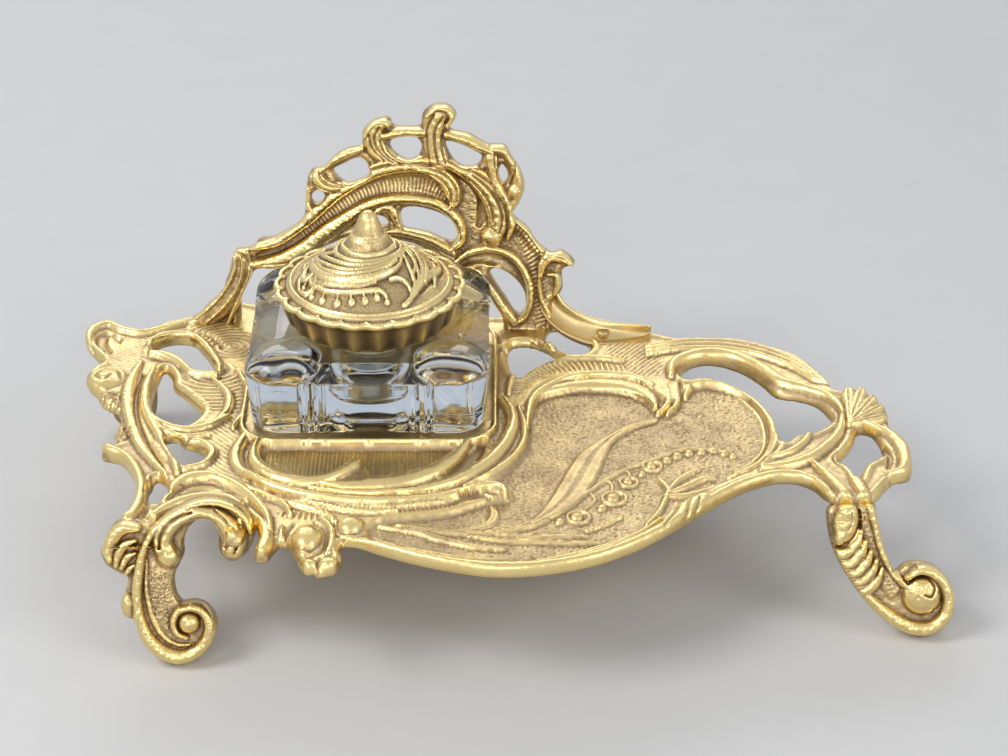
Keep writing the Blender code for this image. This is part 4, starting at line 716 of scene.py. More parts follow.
for line in [
    [(28, -12.6, 0.35), (28.8, -15, 0.35), (28.6, -17, 0.3)],
    [(23.6, -17, 0.35), (24.6, -20, 0.35), (24.2, -23.4, 0.3)],
    [(19.4, -22.4, 0.35), (20.4, -26, 0.35), (18, -30.4, 0.3)],
    [(34, -8.8, 0.35), (36.4, -9.4, 0.3)],
]:
    tray.bead(line, 0.55, dishFloor)
for x, y, r in [(40.1, -6.4, 1.3), (42.9, -5, 1.1), (45.8, -4.6, 1.1), (48.6, -4, 1.0), (51.1, -5.2, 1.0),
                (53, -6.6, 0.9), (37.6, -8.4, 1.2), (22, -29.6, 1.2), (12.4, -35.4, 1.1), (31.6, -14.8, 1.0)]:
    tray.boss(x, y, r, 0.95, dishFloor, tall=1.2)
for x, y, r in [(34.1, -11.2, 2.1), (28.4, -18.4, 2.0), (24.9, -25.4, 2.7), (16.6, -33.6, 2.5)]:
    # open bells: a round cup inside a thin ring
    ring = [(x + r * math.cos(a), y + r * math.sin(a), 0.42) for a in np.linspace(0.3, 2 * math.pi + 0.3, 15)]
    tray.bead(ring, 0.75, dishFloor)
    tray.boss(x - 0.15 * r, y, 0.62 * r, 1.25, dishFloor, tall=1.1)
for line in [
    # the leaf that turns over at the dish's right front
    [(36.3, -24.6, 0.5), (40.8, -24.4, 1.1), (45, -22.6, 1.1), (48.4, -20.1, 0.4)],
    [(36.7, -23.8, 0.5), (38.2, -20.6, 0.9), (39.9, -17.4, 0.9), (42.8, -14.4, 0.7), (44.9, -12.9, 0.3)],
    [(37.2, -23.6, 0.5), (41.6, -20, 1.2), (45.8, -16.8, 1.0), (48.1, -17.2, 0.4)],
    [(35.2, -17.4, 0.4), (36.8, -20.1, 0.8), (37.4, -23, 0.5)],
    [(31.8, -36.6, 0.4), (34.6, -31.6, 0.7), (36.4, -26, 0.7), (36.8, -24, 0.4)],
]:
    tray.bead(line, 0.95, dishFloor)
tray.height += 0.03 * grain(tray, 2.4, 3)
print("tray worked")

trayPlane = toWorld @ Matrix.Translation((0, 0, plateTop))
# every edge stands up from the back, but for what rests on the rear feet
thinner = trayMake["thinner"] * (1 - softStep(tray.edge, 0.5, 5))
for x, y in [(-91.5, 58), (38, 48)]:
    thinner *= softStep(np.hypot(tray.U - x, tray.V - y), 8, 13)
trayPiece = castPlate("tray_casting", tray, trayPlane, trayMake["thickness"], trayMake["rounding"],
                      back=thinner, limit=160000)


galleryOutline = [
    (-81, -2), (-76.3, 1.3), (-74.1, 3.8), (-71.9, 5.7), (-70.2, 8.2), (-69.4, 10.4),
    (-68.6, 12.7), (-68, 15.5), (-67, 17.7), (-64.8, 18.1), (-62.8, 18.8), (-61, 20.6),
    (-58, 21.1), (-54.8, 22.8), (-51.6, 24.9), (-50, 26.8), (-49.4, 31), (-49, 36),
    (-47.8, 38.6), (-45, 39.4), (-42.4, 42.1), (-39, 44.1), (-35.6, 45.2), (-35.2, 48.5),
    (-32.5, 51.3), (-28.9, 52), (-27.7, 50.2), (-23.9, 49.9), (-21.1, 50.3), (-20.3, 53.6),
    (-17.2, 55.7), (-14, 55.4), (-12.2, 53), (-13.8, 49.8), (-8.9, 48.3), (-4.5, 46),
    (-0.3, 45.7), (1.4, 43), (3.6, 39.7), (4.7, 35.2), (3.5, 31.3), (2, 28.6), (5.6, 25),
    (8.6, 20.8), (11.4, 19), (14.4, 19.3), (17.4, 16.2), (14.5, 14.6), (14.4, 9.5), (12, 6),
    (12.5, 2), (11, -1.9), (6, -2.1), (0.5, -1.8), (-0.5, 2.1), (-3, 6.1), (-5.5, 11),
    (-9, 13.5), (-12.5, 15.2), (-18, 18), (-23, 20.3), (-30, 21.5), (-37, 22), (-43, 19.8),
    (-50, 16), (-57, 13), (-62.2, 12.6), (-63.6, 9.9), (-65.8, 5.2), (-67, -2.2),
]

galleryOpenings = [
    [
        (-48, 32), (-46.4, 33.4), (-44.8, 32.2), (-46, 30.3), (-47.6, 30.4),
    ],
    [
        (-42.5, 38.5), (-40, 40.2), (-36, 41.8), (-34.2, 40.5), (-33.5, 38.2), (-36.5, 36.2),
        (-39.5, 35.6),
    ],
    [
        (-28.3, 46.2), (-25.5, 47.2), (-22.2, 47.3), (-20.8, 45.3), (-21.5, 42.8), (-24, 41.7),
        (-26.8, 42.9), (-28.3, 44.5),
    ],
    [
        (-14.7, 46.3), (-11.5, 45.8), (-7.5, 44), (-6, 43.1), (-6.5, 41.2), (-8.5, 40.3),
        (-11.5, 40.8), (-13.8, 43.2),
    ],
    [
        (-1, 40.9), (0.4, 39.2), (0.4, 37.2), (-0.6, 36.4), (-1.7, 38.3),
    ],
    [
        (-25.6, 28.8), (-23, 29.7), (-19.5, 29.2), (-16, 28.1), (-13.3, 26.3), (-11.8, 23.2),
        (-12.6, 21.3), (-15, 21.6), (-18.5, 23.1), (-22.5, 24), (-25.2, 24.8),
    ],
    [
        (-31.8, 27.2), (-29.6, 26.6), (-29, 25.1), (-30.5, 24.6), (-31.8, 25.6),
    ],
    [
        (-3.6, 13.6), (-2.2, 14.5), (0, 13.7), (3, 11.2), (5, 8), (5.4, 5), (4.2, 3), (2.6, 3.6),
        (0.4, 7), (-2, 10.5),
    ],
]

leftFootOutline = [     # the foot and the scroll that arches over it
    (1.2, 0), (5, 1.3), (8, 4), (9.6, 8), (9, 11.5), (7, 13.8), (4.5, 14.6), (2, 14.3),
    (0.8, 15.6), (0.2, 17.9), (0.3, 20.5), (1.3, 22.6), (2.4, 25.2), (2.3, 27.7), (2.9, 29.8),
    (4.3, 31.8), (6.5, 33.1), (8.3, 33), (9.5, 31.4), (10.2, 29.2), (10, 27), (10.7, 25),
    (12.6, 23.5), (14.6, 23.8), (16.7, 25.7), (18, 28.6), (18.3, 30.6), (17.5, 33.4), (15, 36.2),
    (11.4, 37.6), (7.3, 37.9), (3.5, 37), (-0.4, 34.9), (-3.9, 32.4), (-6, 31.6), (-8.5, 32.8),
    (-11.4, 32.9), (-13.6, 31.2), (-15, 28.4), (-16, 25.4), (-14.8, 22.6), (-12.4, 20.8),
    (-10.3, 19.9), (-10.4, 17.5), (-11.7, 14), (-11, 11), (-8.6, 9.8), (-7.5, 6), (-5, 2.5),
    (-1.5, 0.4),
]

rightFootOutline = [
    (-9, 30.3), (-8.6, 28.8), (-8.2, 27), (-7.4, 22.8), (-5.8, 18.2), (-4.2, 15.1), (-2, 16.8),
    (1.1, 17.3), (4.7, 16.3), (7.9, 13.2), (9.5, 9), (9, 5.2), (6.8, 1.8), (3, 0), (0, 0.2),
    (-4.5, 2.6), (-8.6, 5.9), (-12.3, 10.1), (-15.5, 14.7), (-17.6, 18.4), (-19.1, 23),
    (-19.7, 27), (-19.6, 29.2), (-18.4, 30.3), (-15.6, 30.6), (-12.4, 30.6),
]

rearFootOutline = [
    (3, 31.2), (2.8, 27), (1.4, 19.9), (1, 11.9), (2, 8.8), (3.4, 9.8), (5.7, 9.4), (7.8, 6.5),
    (7.4, 3), (5, 0.5), (2, 0), (-1, 1.5), (-3, 6), (-3.8, 12), (-3.6, 19.9), (-3.1, 27),
    (-3, 31.3),
]


# The gallery, worked in its own leaning plane: u along it, v up it

galleryMake = {
    "cell": 0.2,
    "thickness": 3.4,
    "rounding": 1.25,
    "roll": 0.5,
    "lean": 12.0,           # degrees back from upright
    "turn": -3.0,           # degrees about the upright
    "place": (0, 56.6, 30.3),
    "top": 85.33,           # height of its highest leaf
}
gallery = Relief((-83, -4), (19, 58), galleryMake["cell"])
gallery.outline([galleryOutline] + galleryOpenings)
gallery.height += galleryMake["roll"] * np.exp(-((gallery.edge - 1.3) / 0.8) ** 2)

# the left limb and the first bend
gallery.bead([(-79, -2, 2.6), (-74.4, 1.6, 3.6), (-70.4, 5, 3.6), (-67.6, 8.8, 3.4), (-65.9, 12.8, 3.2),
              (-65.6, 17, 2.4)], 1.7, 0.0, flat=2.6)
for line in [
    [(-77, 0.4, 0.5), (-73.4, 3.6, 0.8), (-70, 7.6, 0.9), (-67.9, 11, 0.8), (-66.9, 14.4, 0.7), (-67.2, 16.8, 0.4)],
    [(-74.4, -0.6, 0.5), (-70.9, 2.6, 0.8), (-68, 6.2, 0.9), (-65.9, 10.1, 0.8), (-65.1, 14, 0.7), (-65.7, 17, 0.4)],
    [(-69, -0.6, 0.5), (-67.6, 2.6, 0.7), (-65.6, 6.8, 0.7), (-63.8, 10.8, 0.7), (-63.2, 14.4, 0.6)],
]:
    gallery.bead(line, 2.1, 0.2)
gallery.crease([(-67.4, 18, 0.4), (-65, 17, 0.7), (-63, 13.8, 0.4)], 0.7)

# the ribbed channel that rises to the middle, between its two lips
channelRun = [(-61, 16.4, 1.4), (-55, 19, 2.1), (-50, 22.6, 2.6), (-45, 26.4, 3.0), (-40, 30.4, 3.2),
              (-35, 33.4, 3.2), (-30, 35.2, 3.2), (-24, 36.2, 3.1), (-19, 35.6, 2.7), (-15.4, 33.6, 1.8)]
gallery.hollow(channelRun, 1.2, 0.2, soft=0.6)
gallery.ribs([(x + 0.6, y - 1.0, w * 0.62) for x, y, w in channelRun[2:]], 0.5, 0.95)
for line in [
    [(-63, 18.6, 0.8), (-57, 20.2, 1.3), (-52, 23.6, 1.5), (-48, 26.8, 1.6), (-44, 30.6, 1.6), (-40, 33.8, 1.6),
     (-35, 37, 1.6), (-30, 39, 1.5), (-24, 40, 1.4), (-18.6, 39.6, 1.2), (-15, 37.8, 0.9)],
    [(-63, 14.4, 1.0), (-56, 15.4, 1.9), (-50, 18.2, 2.3), (-44.6, 22.4, 2.3), (-39, 26.6, 1.9), (-34, 29.9, 1.6),
     (-28, 31.7, 1.5), (-22, 31.9, 1.4), (-17, 30.9, 1.4), (-13.2, 28.6, 1.4), (-11, 25.4, 1.4),
     (-10.8, 21.8, 1.2), (-13, 19.4, 0.7)],
]:
    gallery.bead(line, 1.9, 0.1)
gallery.crease([(-60, 14.6, 0.3), (-54, 15.2, 0.5), (-48, 18.2, 0.6), (-43, 21.8, 0.6), (-39, 25, 0.3)], 0.6)

# the leaf that curls over at the channel's end
gallery.leaf([(-21, 39.6, 0.8), (-17.4, 39, 1.7), (-14.4, 37, 2.3), (-12.8, 34, 2.3), (-12.6, 31.4, 1.4),
              (-13.4, 30, 0.6)], 2.1, 0.2, vein=0.0)
for line in [
    [(-18.6, 40, 0.3), (-14.6, 38.4, 0.5), (-12, 35, 0.5), (-11.8, 31.6, 0.3)],
    [(-18.6, 38.6, 0.3), (-15.4, 37, 0.5), (-13.4, 34.2, 0.5), (-13.2, 31.4, 0.3)],
    [(-18.4, 37.4, 0.3), (-16, 35.8, 0.4), (-14.6, 33.4, 0.3)],
]:
    gallery.crease(line, 0.85)

# the scroll down the right, ending in a knob
gallery.hollow([(-12, 38.4, 0.6), (-8, 36.2, 1.4), (-5.6, 33, 1.9), (-5.4, 29, 1.9), (-6.4, 25.6, 1.0)], 1.2)
for line in [
    [(-36, 38.6, 0.5), (-30, 41, 0.9), (-22, 41.9, 1.0), (-15, 41.2, 1.2), (-9.8, 39, 1.7), (-5.8, 35.8, 2.2),
     (-3, 32, 2.6), (-1.8, 27.6, 2.6), (-2, 24, 2.3), (-3.8, 21.8, 1.6)],
    [(-10, 41.2, 0.4), (-5, 38.6, 0.8), (-1, 34.6, 1.0), (1.2, 30, 1.0), (1.8, 26, 1.0), (0.8, 22.6, 0.6)],
]:
    gallery.bead(line, 2.1, 0.1)
gallery.boss(-3.2, 22.8, 2.7, 2.6, 0.3)
for line in [
    [(-8, 38.6, 0.3), (-4.4, 35.6, 0.6), (-1.6, 31.6, 0.6), (-0.6, 27.6, 0.5), (-1.2, 24, 0.3)],
    [(-8.4, 37.2, 0.3), (-5, 33.6, 0.6), (-3.2, 30, 0.6), (-2.8, 26.6, 0.3)],
]:
    gallery.crease(line, 0.9)

# the branch and the bar under the kidney-shaped opening
gallery.bead([(-33, 26.2, 0.5), (-31.6, 28.6, 1.0), (-29, 29.6, 1.4), (-27, 27.6, 1.4), (-26, 25, 1.0)],
             1.6, 0.1)
gallery.crease([(-31, 28.4, 0.3), (-29, 28, 0.5), (-28, 25.8, 0.3)], 0.6)
gallery.bead([(-30, 23.4, 0.7), (-25, 23.6, 1.3), (-20, 22.4, 1.4), (-16, 20.6, 1.3), (-12.6, 18.6, 0.8)],
             1.6, 0.2)

# the ring beside the glass
gallery.hollow([(-10.4, 15.6, 1.0), (-7, 17.2, 2.0), (-3, 17.4, 2.3), (0.6, 15.6, 2.3), (3.4, 12, 1.9),
                (5, 8, 1.2)], 1.4)
gallery.bead([(-12, 16.4, 0.6), (-8.6, 18.8, 0.9), (-4, 19.8, 1.0), (0.6, 18.8, 1.0), (4, 15.8, 1.0),
              (6.2, 11.4, 1.0), (6.6, 6.6, 0.9), (5.2, 2.6, 0.8), (2.6, 0.6, 0.5)], 1.5, 0.2)
gallery.bead([(-6.6, 14, 0.9), (-3.6, 9.2, 1.5), (-0.4, 4.4, 1.6), (2.6, 1, 1.2)], 1.3, 0.0, flat=2.6)
gallery.ribs([(3, 26, 1.4), (6, 21.4, 2.4), (8, 16, 2.2), (8.4, 10, 1.7), (9.4, 4, 1.7), (9, -0.6, 1.2)],
             0.45, 1.15, skew=0.8)
for line in [
    [(9.4, 18, 0.4), (8.8, 12, 0.6), (9.4, 7, 0.7), (11.2, 3, 0.7), (11, 0, 0.5)],
    [(2.6, 27.2, 0.4), (6.4, 23.6, 0.7), (9.4, 19.6, 0.7)],
]:
    gallery.bead(line, 1.1, 0.1)
gallery.leaf([(9, 13, 0.7), (9.6, 16.4, 1.3), (11.6, 18.2, 1.5), (14.6, 17.8, 1.3), (16.8, 16.2, 0.5)],
             1.7, 0.2, vein=0.3)
gallery.bead([(11, 13.6, 0.5), (12.8, 13.4, 0.9), (13.4, 11, 0.9), (12.6, 8.6, 0.6)], 1.4, 0.1)

# the crown: rail, leaves and knots
for line in [
    [(-46.6, 38, 0.8), (-43, 41.2, 1.3), (-39, 43.4, 1.4), (-35.6, 44.6, 1.1)],
    [(-30, 47.6, 1.0), (-25, 48.7, 1.35), (-19.6, 48.6, 1.1)],
    [(-14.6, 48.4, 1.1), (-10, 47.2, 1.4), (-6, 45.4, 1.4), (-3, 44, 0.8)],
    [(-3, 45, 1.0), (0.2, 44.2, 1.6), (2.5, 41.4, 1.8), (3.6, 37.8, 1.9), (3, 34, 1.8), (2, 31, 1.0)],
]:
    gallery.bead(line, 1.7, 0.1)
gallery.boss(2.6, 34.2, 2.3, 2.0, 0.1, tall=1.2, turn=-0.3)
leaves = [
    [(-16, 41, 2.4), (-17.4, 45, 2.5), (-17.6, 49.4, 2.7), (-16.8, 52.6, 3.0), (-14.6, 53.8, 1.6)],
    [(-27.6, 41.4, 1.6), (-31, 43.8, 2.4), (-32.6, 47, 2.5), (-31.6, 49.8, 2.0), (-29.4, 51, 0.8)],
    [(-41, 34.6, 1.2), (-44.6, 34.8, 1.8), (-46.6, 36.8, 1.8)],
    [(-3.6, 42.6, 1.8), (-2.8, 38.6, 1.5), (-1.6, 35, 1.6), (0, 32, 1.2)],
]
for line in leaves:
    gallery.leaf(line, 1.9, 0.2, vein=0.0)
gallery.bead([(-14.2, 50.6, 0.8), (-13, 52.4, 1.2), (-14.2, 54.6, 1.2), (-17, 55, 0.9), (-19.2, 53, 0.6)],
             2.3, 0.4)
gallery.bead([(-28.8, 50.6, 0.8), (-30.6, 51.4, 0.9), (-33, 50.2, 0.9), (-34.6, 47.4, 0.8)], 2.0, 0.3)
for line in [
    [(-18.4, 41, 0.4), (-19.2, 45.6, 0.6), (-19.2, 50, 0.6), (-17.6, 53.4, 0.4)],
    [(-16.4, 41, 0.4), (-17.3, 45.6, 0.6), (-17.2, 49.8, 0.6), (-15.4, 52.8, 0.4)],
    [(-14.6, 41.2, 0.4), (-15.5, 45.6, 0.6), (-15.4, 49.4, 0.5)],
    [(-29.6, 41.6, 0.4), (-32.6, 44.6, 0.6), (-33.5, 48, 0.4)],
    [(-27.6, 41.2, 0.4), (-31, 43.8, 0.6), (-32.2, 47.2, 0.6), (-31, 50, 0.4)],
    [(-25.8, 41, 0.4), (-29.4, 43.2, 0.6), (-30.8, 46.6, 0.4)],
    [(-47.8, 38.4, 0.4), (-47.2, 35.4, 0.6), (-44, 33.8, 0.5), (-40.6, 33.4, 0.3)],
    [(-46, 38.8, 0.3), (-45.2, 36.4, 0.6), (-42.4, 35, 0.5), (-39.6, 35, 0.3)],
    [(-5, 43.4, 0.4), (-4.2, 39.6, 0.6), (-3.2, 36.4, 0.4)],
    [(-2.6, 44, 0.4), (-2.4, 40.6, 0.5)],
    [(2.4, 43, 0.3), (2.4, 39.6, 0.5), (1.2, 36.4, 0.4)],
]:
    gallery.crease(line, 0.8)
gallery.bead([(-49, 34, 0.7), (-49, 30, 0.9), (-47.6, 27.6, 0.7)], 1.0, 0.2)
flatParts = (gallery.height > -0.2) & (gallery.height < 0.45)
gallery.ground += softStep(blur(flatParts, 3), 0.3, 0.9)
gallery.height += 0.035 * grain(gallery, 0.8, 21) * (0.1 + gallery.ground) + 0.05 * grain(gallery, 2.4, 22)

galleryPlane = (toWorld @ Matrix.Translation(galleryMake["place"])
                @ Matrix.Rotation(math.radians(galleryMake["turn"]), 4, "Z")
                @ Matrix.Rotation(math.pi / 2 - math.radians(galleryMake["lean"]), 4, "X")
                @ Matrix.Translation((0, 0, 1.8)))
crest = castPlate("gallery_openwork", gallery, galleryPlane, galleryMake["thickness"],
                  galleryMake["rounding"], back=0.45 * blur(gallery.height, 9), limit=170000)


# The feet, each worked in its own leaning plane with v up from the desk

footMake = {
    "cell": 0.19,
    "thickness": 5.4,
    "rounding": 1.7,
    "lean": 21.0,           # degrees back from upright
    "top": 26.65,           # height of a foot's flat top
    "flange": 3.5,          # thickness of the flange under the tray
}


def footPlane(x, y, facesBack):
    return (toWorld @ Matrix.Translation((x, y, 0)) @ Matrix.Rotation(math.pi if facesBack else 0, 4, "Z")
            @ Matrix.Rotation(math.pi / 2 - math.radians(footMake["lean"]), 4, "X")
            @ Matrix.Translation((0, 0, footMake["thickness"] / 2)))


def volute(relief, x, y, start, end, firstRadius, lastRadius, width, lift, base=0.0):
    # a coil from one angle to another, in degrees, winding in
    turns = np.radians(np.linspace(start, end, 14))
    radii = np.linspace(firstRadius, lastRadius, 14)
    widths = np.linspace(width, width * 0.55, 14)
    relief.bead([(x + r * math.cos(t), y + r * math.sin(t), w) for t, r, w in zip(turns, radii, widths)],
                lift, base)


leftFoot = Relief((-18, -1), (21, 40), footMake["cell"])
leftFoot.outline([leftFootOutline])
leftFoot.height -= 0.65
# the rim from the volute up the left edge and over the arch
leftFoot.bead([(3, 6.6, 0.6), (0.9, 7.6, 0.8), (0.2, 10.2, 0.9), (1.5, 12.6, 1.0), (4.2, 13.4, 1.2),
               (7, 12.3, 1.4), (8.2, 9.6, 1.6), (7.9, 6.4, 1.7), (5.6, 3.4, 1.8), (2, 1.9, 1.8), (-2, 2.9, 1.8),
               (-5.4, 5.8, 1.7), (-7.2, 9.8, 1.5), (-7.9, 14, 1.3), (-7.6, 20, 1.2), (-6.5, 25.5, 1.1),
               (-4.2, 30.2, 1.0), (-0.6, 33.7, 0.9), (3.5, 36, 0.9), (7.4, 37, 0.9), (11.3, 36.7, 0.9),
               (14.5, 35.3, 0.9), (16.8, 32.9, 0.9), (17.6, 30.4, 0.7)], 2.0, -0.6, flat=2.2)
leftFoot.boss(3.6, 9.9, 2.5, 3.0, -0.6)
leftFoot.bead([(-5.6, 24, 0.4), (-5.9, 18, 0.6), (-5.3, 13.6, 0.7), (-4.1, 9.7, 0.7), (-2, 6.6, 0.7),
               (0.8, 4.9, 0.6), (3.6, 4.9, 0.4)], 1.0, -0.9)
# the rolled tube, from its round end over the foot to the lobe on the right
leftFoot.bead([(-0.7, 25, 2.5), (-1.9, 27.4, 2.5), (-1.5, 30.2, 2.3), (1.0, 33, 2.0), (5.1, 34.6, 1.8),
               (9.2, 34.2, 2.0), (12.3, 31.8, 2.6), (13.9, 28.8, 3.0), (13.6, 26.6, 2.7)], 3.1, -0.8)
leftFoot.boss(-0.8, 24.9, 2.7, 3.2, -0.6)
leftFoot.crease([(-2.6, 27, 0.6), (-2.4, 29.4, 1.1), (-0.9, 32, 1.2), (1.8, 34, 1.1), (4.6, 35, 0.5)], 1.2)
for line in [
    [(9.6, 35.6, 0.4), (12.3, 32.8, 0.8), (13.1, 29.6, 0.9), (11.9, 27, 0.6)],
    [(14.9, 33, 0.4), (15.2, 30.4, 0.8), (14.6, 27.6, 0.8), (13.9, 25.8, 0.4)],
]:
    leftFoot.crease(line, 0.8)
mottled = leftFoot.mask([(-3.4, 28), (-3, 31), (-0.4, 33.6), (2.6, 34.6), (1.2, 32.4), (-1.2, 29.6)], 0.5)
stippled = leftFoot.mask([(-5, 23), (-2.6, 21.6), (-0.4, 21.4), (-0.4, 17), (0, 14.6), (-1.2, 8), (-4, 12)], 0.8)
leftFoot.height += stippled * (0.3 + 0.09 * grain(leftFoot, 0.8, 31))
leftFoot.ground += np.maximum(stippled, mottled)
# the curl and the lobes on its left
for line, lift in [
    ([(-7.6, 31.2, 1.0), (-10.6, 31.2, 1.6), (-13, 29.2, 1.8), (-14.2, 26.2, 1.6), (-13.8, 24, 0.9)], 2.3),
    ([(-8.2, 28.4, 0.7), (-10.4, 27.4, 1.1), (-12, 25.2, 1.2), (-12.4, 22.8, 0.7)], 1.9),
    ([(-8.2, 25.6, 0.6), (-10, 24.6, 1.0), (-11.2, 22.4, 0.8)], 1.6),
    ([(-8.4, 22.8, 0.5), (-9.6, 21.8, 0.9), (-10.3, 20.6, 0.5)], 1.4),
]:
    leftFoot.bead(line, lift, -0.9)
leftFoot.boss(-10, 13.8, 1.9, 2.0, -0.9, tall=1.6, turn=0.1)
leftFoot.height += 0.05 * grain(leftFoot, 2.4, 41)

rightFoot = Relief((-22, -1), (12, 36), footMake["cell"])
rightFoot.outline([rightFootOutline])
rightFoot.height -= 0.6
stippled = rightFoot.mask([(-12.4, 33), (-11.4, 33), (-10.2, 27), (-8.6, 20), (-6, 15), (-3.4, 11.4), (-5, 9.4),
                           (-8.4, 13.6), (-11, 19.4), (-12.2, 25)], 0.6)
rightFoot.height += stippled * (0.55 + 0.07 * grain(rightFoot, 0.9, 33))
rightFoot.ground += 0.6 * stippled
# the lobes down its left side, and the leaf that falls over them
for x, y, wide, lift in [(-16.4, 19.8, 1.9, 1.9), (-15.2, 17.4, 1.8, 1.7), (-13.9, 15.2, 1.6, 1.6),
                         (-12.6, 13.1, 1.5, 1.4), (-11.3, 11.2, 1.3, 1.2)]:
    rightFoot.bead([(x - 2.4, y - 1.0, wide * 0.8), (x + 0.4, y - 0.2, wide), (x + 2.8, y + 2.2, wide * 0.8),
                    (x + 3.8, y + 5, wide * 0.4)], lift, 0.2)
    rightFoot.crease([(x - 2.6, y + 0.8, 0.3), (x + 0.2, y + 1.4, 0.45), (x + 2, y + 3.6, 0.3)], 0.5)
rightFoot.bead([(-15, 31, 1.2), (-15.2, 29.6, 2.2), (-15.7, 26.8, 2.9), (-16.3, 24.4, 2.7), (-17.2, 23, 1.7)],
               2.4, -0.4)
rightFoot.crease([(-12.7, 29.4, 0.4), (-12.5, 26, 0.6), (-13.6, 22.8, 0.7), (-16, 21.2, 0.7), (-18.6, 21.4, 0.4)],
                 0.7)
rightFoot.crease([(-14.6, 29, 0.3), (-14.6, 26.8, 0.5), (-15.4, 24.8, 0.3)], 0.35)
rightFoot.bead([(-10.6, 31, 0.8), (-9.9, 29, 1.1), (-9, 26, 1.1), (-7.9, 21.6, 1.1), (-5.9, 17, 1.1),
                (-3.2, 13.2, 1.0), (-0.6, 10.6, 0.5)], 1.5, -0.8)
# the volute: its rim and the dome it winds round
rightFoot.bead([(-10.6, 9.4, 1.5), (-7.4, 6.3, 1.7), (-3.6, 3.8, 1.8), (0.4, 2.3, 1.8), (4.2, 2.6, 1.8),
                (7, 5.2, 1.7), (7.8, 9, 1.6), (6.5, 12.8, 1.4), (3.8, 15.2, 1.3), (0.8, 15.6, 1.2),
                (-1.6, 14.2, 1.0)], 2.2, -0.6, flat=2.2)
rightFoot.boss(1.7, 9.9, 4.5, 3.0, -0.7)
rightFoot.crease([(-1.6, 12.6, 0.3), (0.4, 14.2, 0.6), (3, 14, 0.6), (4.4, 12, 0.6), (3.6, 10, 0.5), (2, 10.4, 0.3)],
                 0.9)

rightFoot.height += 0.05 * grain(rightFoot, 2.4, 42)

rearFoot = Relief((-6, -1), (10, 33), footMake["cell"])
rearFoot.outline([rearFootOutline])
rearFoot.height -= 0.7
rearFoot.bead([(-0.4, 31, 1.4), (-1, 20, 1.5), (-1.4, 11, 1.5), (-0.4, 5, 1.5), (2, 2, 1.5), (5, 2.6, 1.3),
               (6, 5.6, 1.1), (4.4, 7.8, 0.9)], 2.0, -0.4)
rearFoot.boss(3.6, 5.4, 1.3, 1.9, -0.3)


def cutFlat(thing, height, keepUpper):
    # keeps what lies over or under a level, and closes the cut
    pick(thing)
    bpy.ops.object.mode_set(mode="EDIT")
    bpy.ops.mesh.select_all(action="SELECT")
    bpy.ops.mesh.bisect(plane_co=(0, 0, height * mm), plane_no=(0, 0, 1), clear_outer=not keepUpper,
                        clear_inner=keepUpper, use_fill=True)
    bpy.ops.object.mode_set(mode="OBJECT")
    bpy.ops.object.shade_smooth_by_angle(angle=math.radians(60))


def keepBetween(thing, low, high):
    # presses what stands out past two levels back to them
    for v in thing.data.vertices:
        v.co.z = min(max(v.co.z, low * mm), high * mm)


keepBetween(crest, 0, galleryMake["top"])
overFeet = []       # what stands over a foot's top belongs to the tray


def makeFoot(name, relief, x, y, facesBack, flangeAcross, side):
    # the relief cut flat at the top, with the flange that its screw goes through
    plane = footPlane(x, y, facesBack)
    blade = castPlate(name, relief, plane @ Matrix.Diagonal((side, 1, 1, 1)), footMake["thickness"],
                      footMake["rounding"], limit=80000)
    if side < 0:
        blade.data.flip_normals()
    if relief.v[-1] > 34:
        upper = blade.copy()
        upper.data = blade.data.copy()
        bpy.context.scene.collection.objects.link(upper)
        cutFlat(upper, footMake["top"], True)
        overFeet.append(upper)
    cutFlat(blade, footMake["top"], False)
    cutFlat(blade, 0, True)
    inward = -1 if facesBack else 1
    rise = footMake["top"] / math.cos(math.radians(footMake["lean"]))
    middleX = x + inward * side * flangeAcross * rise
    startY = y + inward * footMake["top"] * math.tan(math.radians(footMake["lean"]))
    bpy.ops.mesh.primitive_cube_add(size=1)
    flange = bpy.context.object
    flange.data.transform(Matrix.Diagonal((7.0, 9.0, footMake["flange"], 1)))
    flange.data.transform(toWorld @ Matrix.Translation((middleX, startY + inward * 4.5,
                                                        footMake["top"] - footMake["flange"] / 2)))
    soften = flange.modifiers.new("soften", "BEVEL")
    soften.width = 0.9 * mm
    soften.segments = 3
    pick(flange)
    bpy.ops.object.modifier_apply(modifier=soften.name)
    flange.data.shade_smooth()
    for layer, value in (("wear", 0.45), ("ground", 0.4)):
        writeAttribute(flange, layer, np.full(len(flange.data.vertices), value))
    made = joinAll([blade, flange])
    keepBetween(made, 0.02, footMake["top"])
    return made


feetMade = {
    "left_front_foot": makeFoot("left_front_scroll_foot", leftFoot, -73.5, -49.0, False, -0.18, 1),
    "right_front_foot": makeFoot("right_front_scroll_foot", rightFoot, 92.5, -38.0, False, -0.49, 1),
    "left_rear_foot": makeFoot("left_rear_scroll_foot", rearFoot, -91.5, 60.0, True, 0.0, 1),
    "right_rear_foot": makeFoot("right_rear_scroll_foot", rearFoot, 38.0, 50.0, True, 0.0, -1),
}
print("gallery and feet worked")


# The strap from the gallery down to the tray, swept between two rails

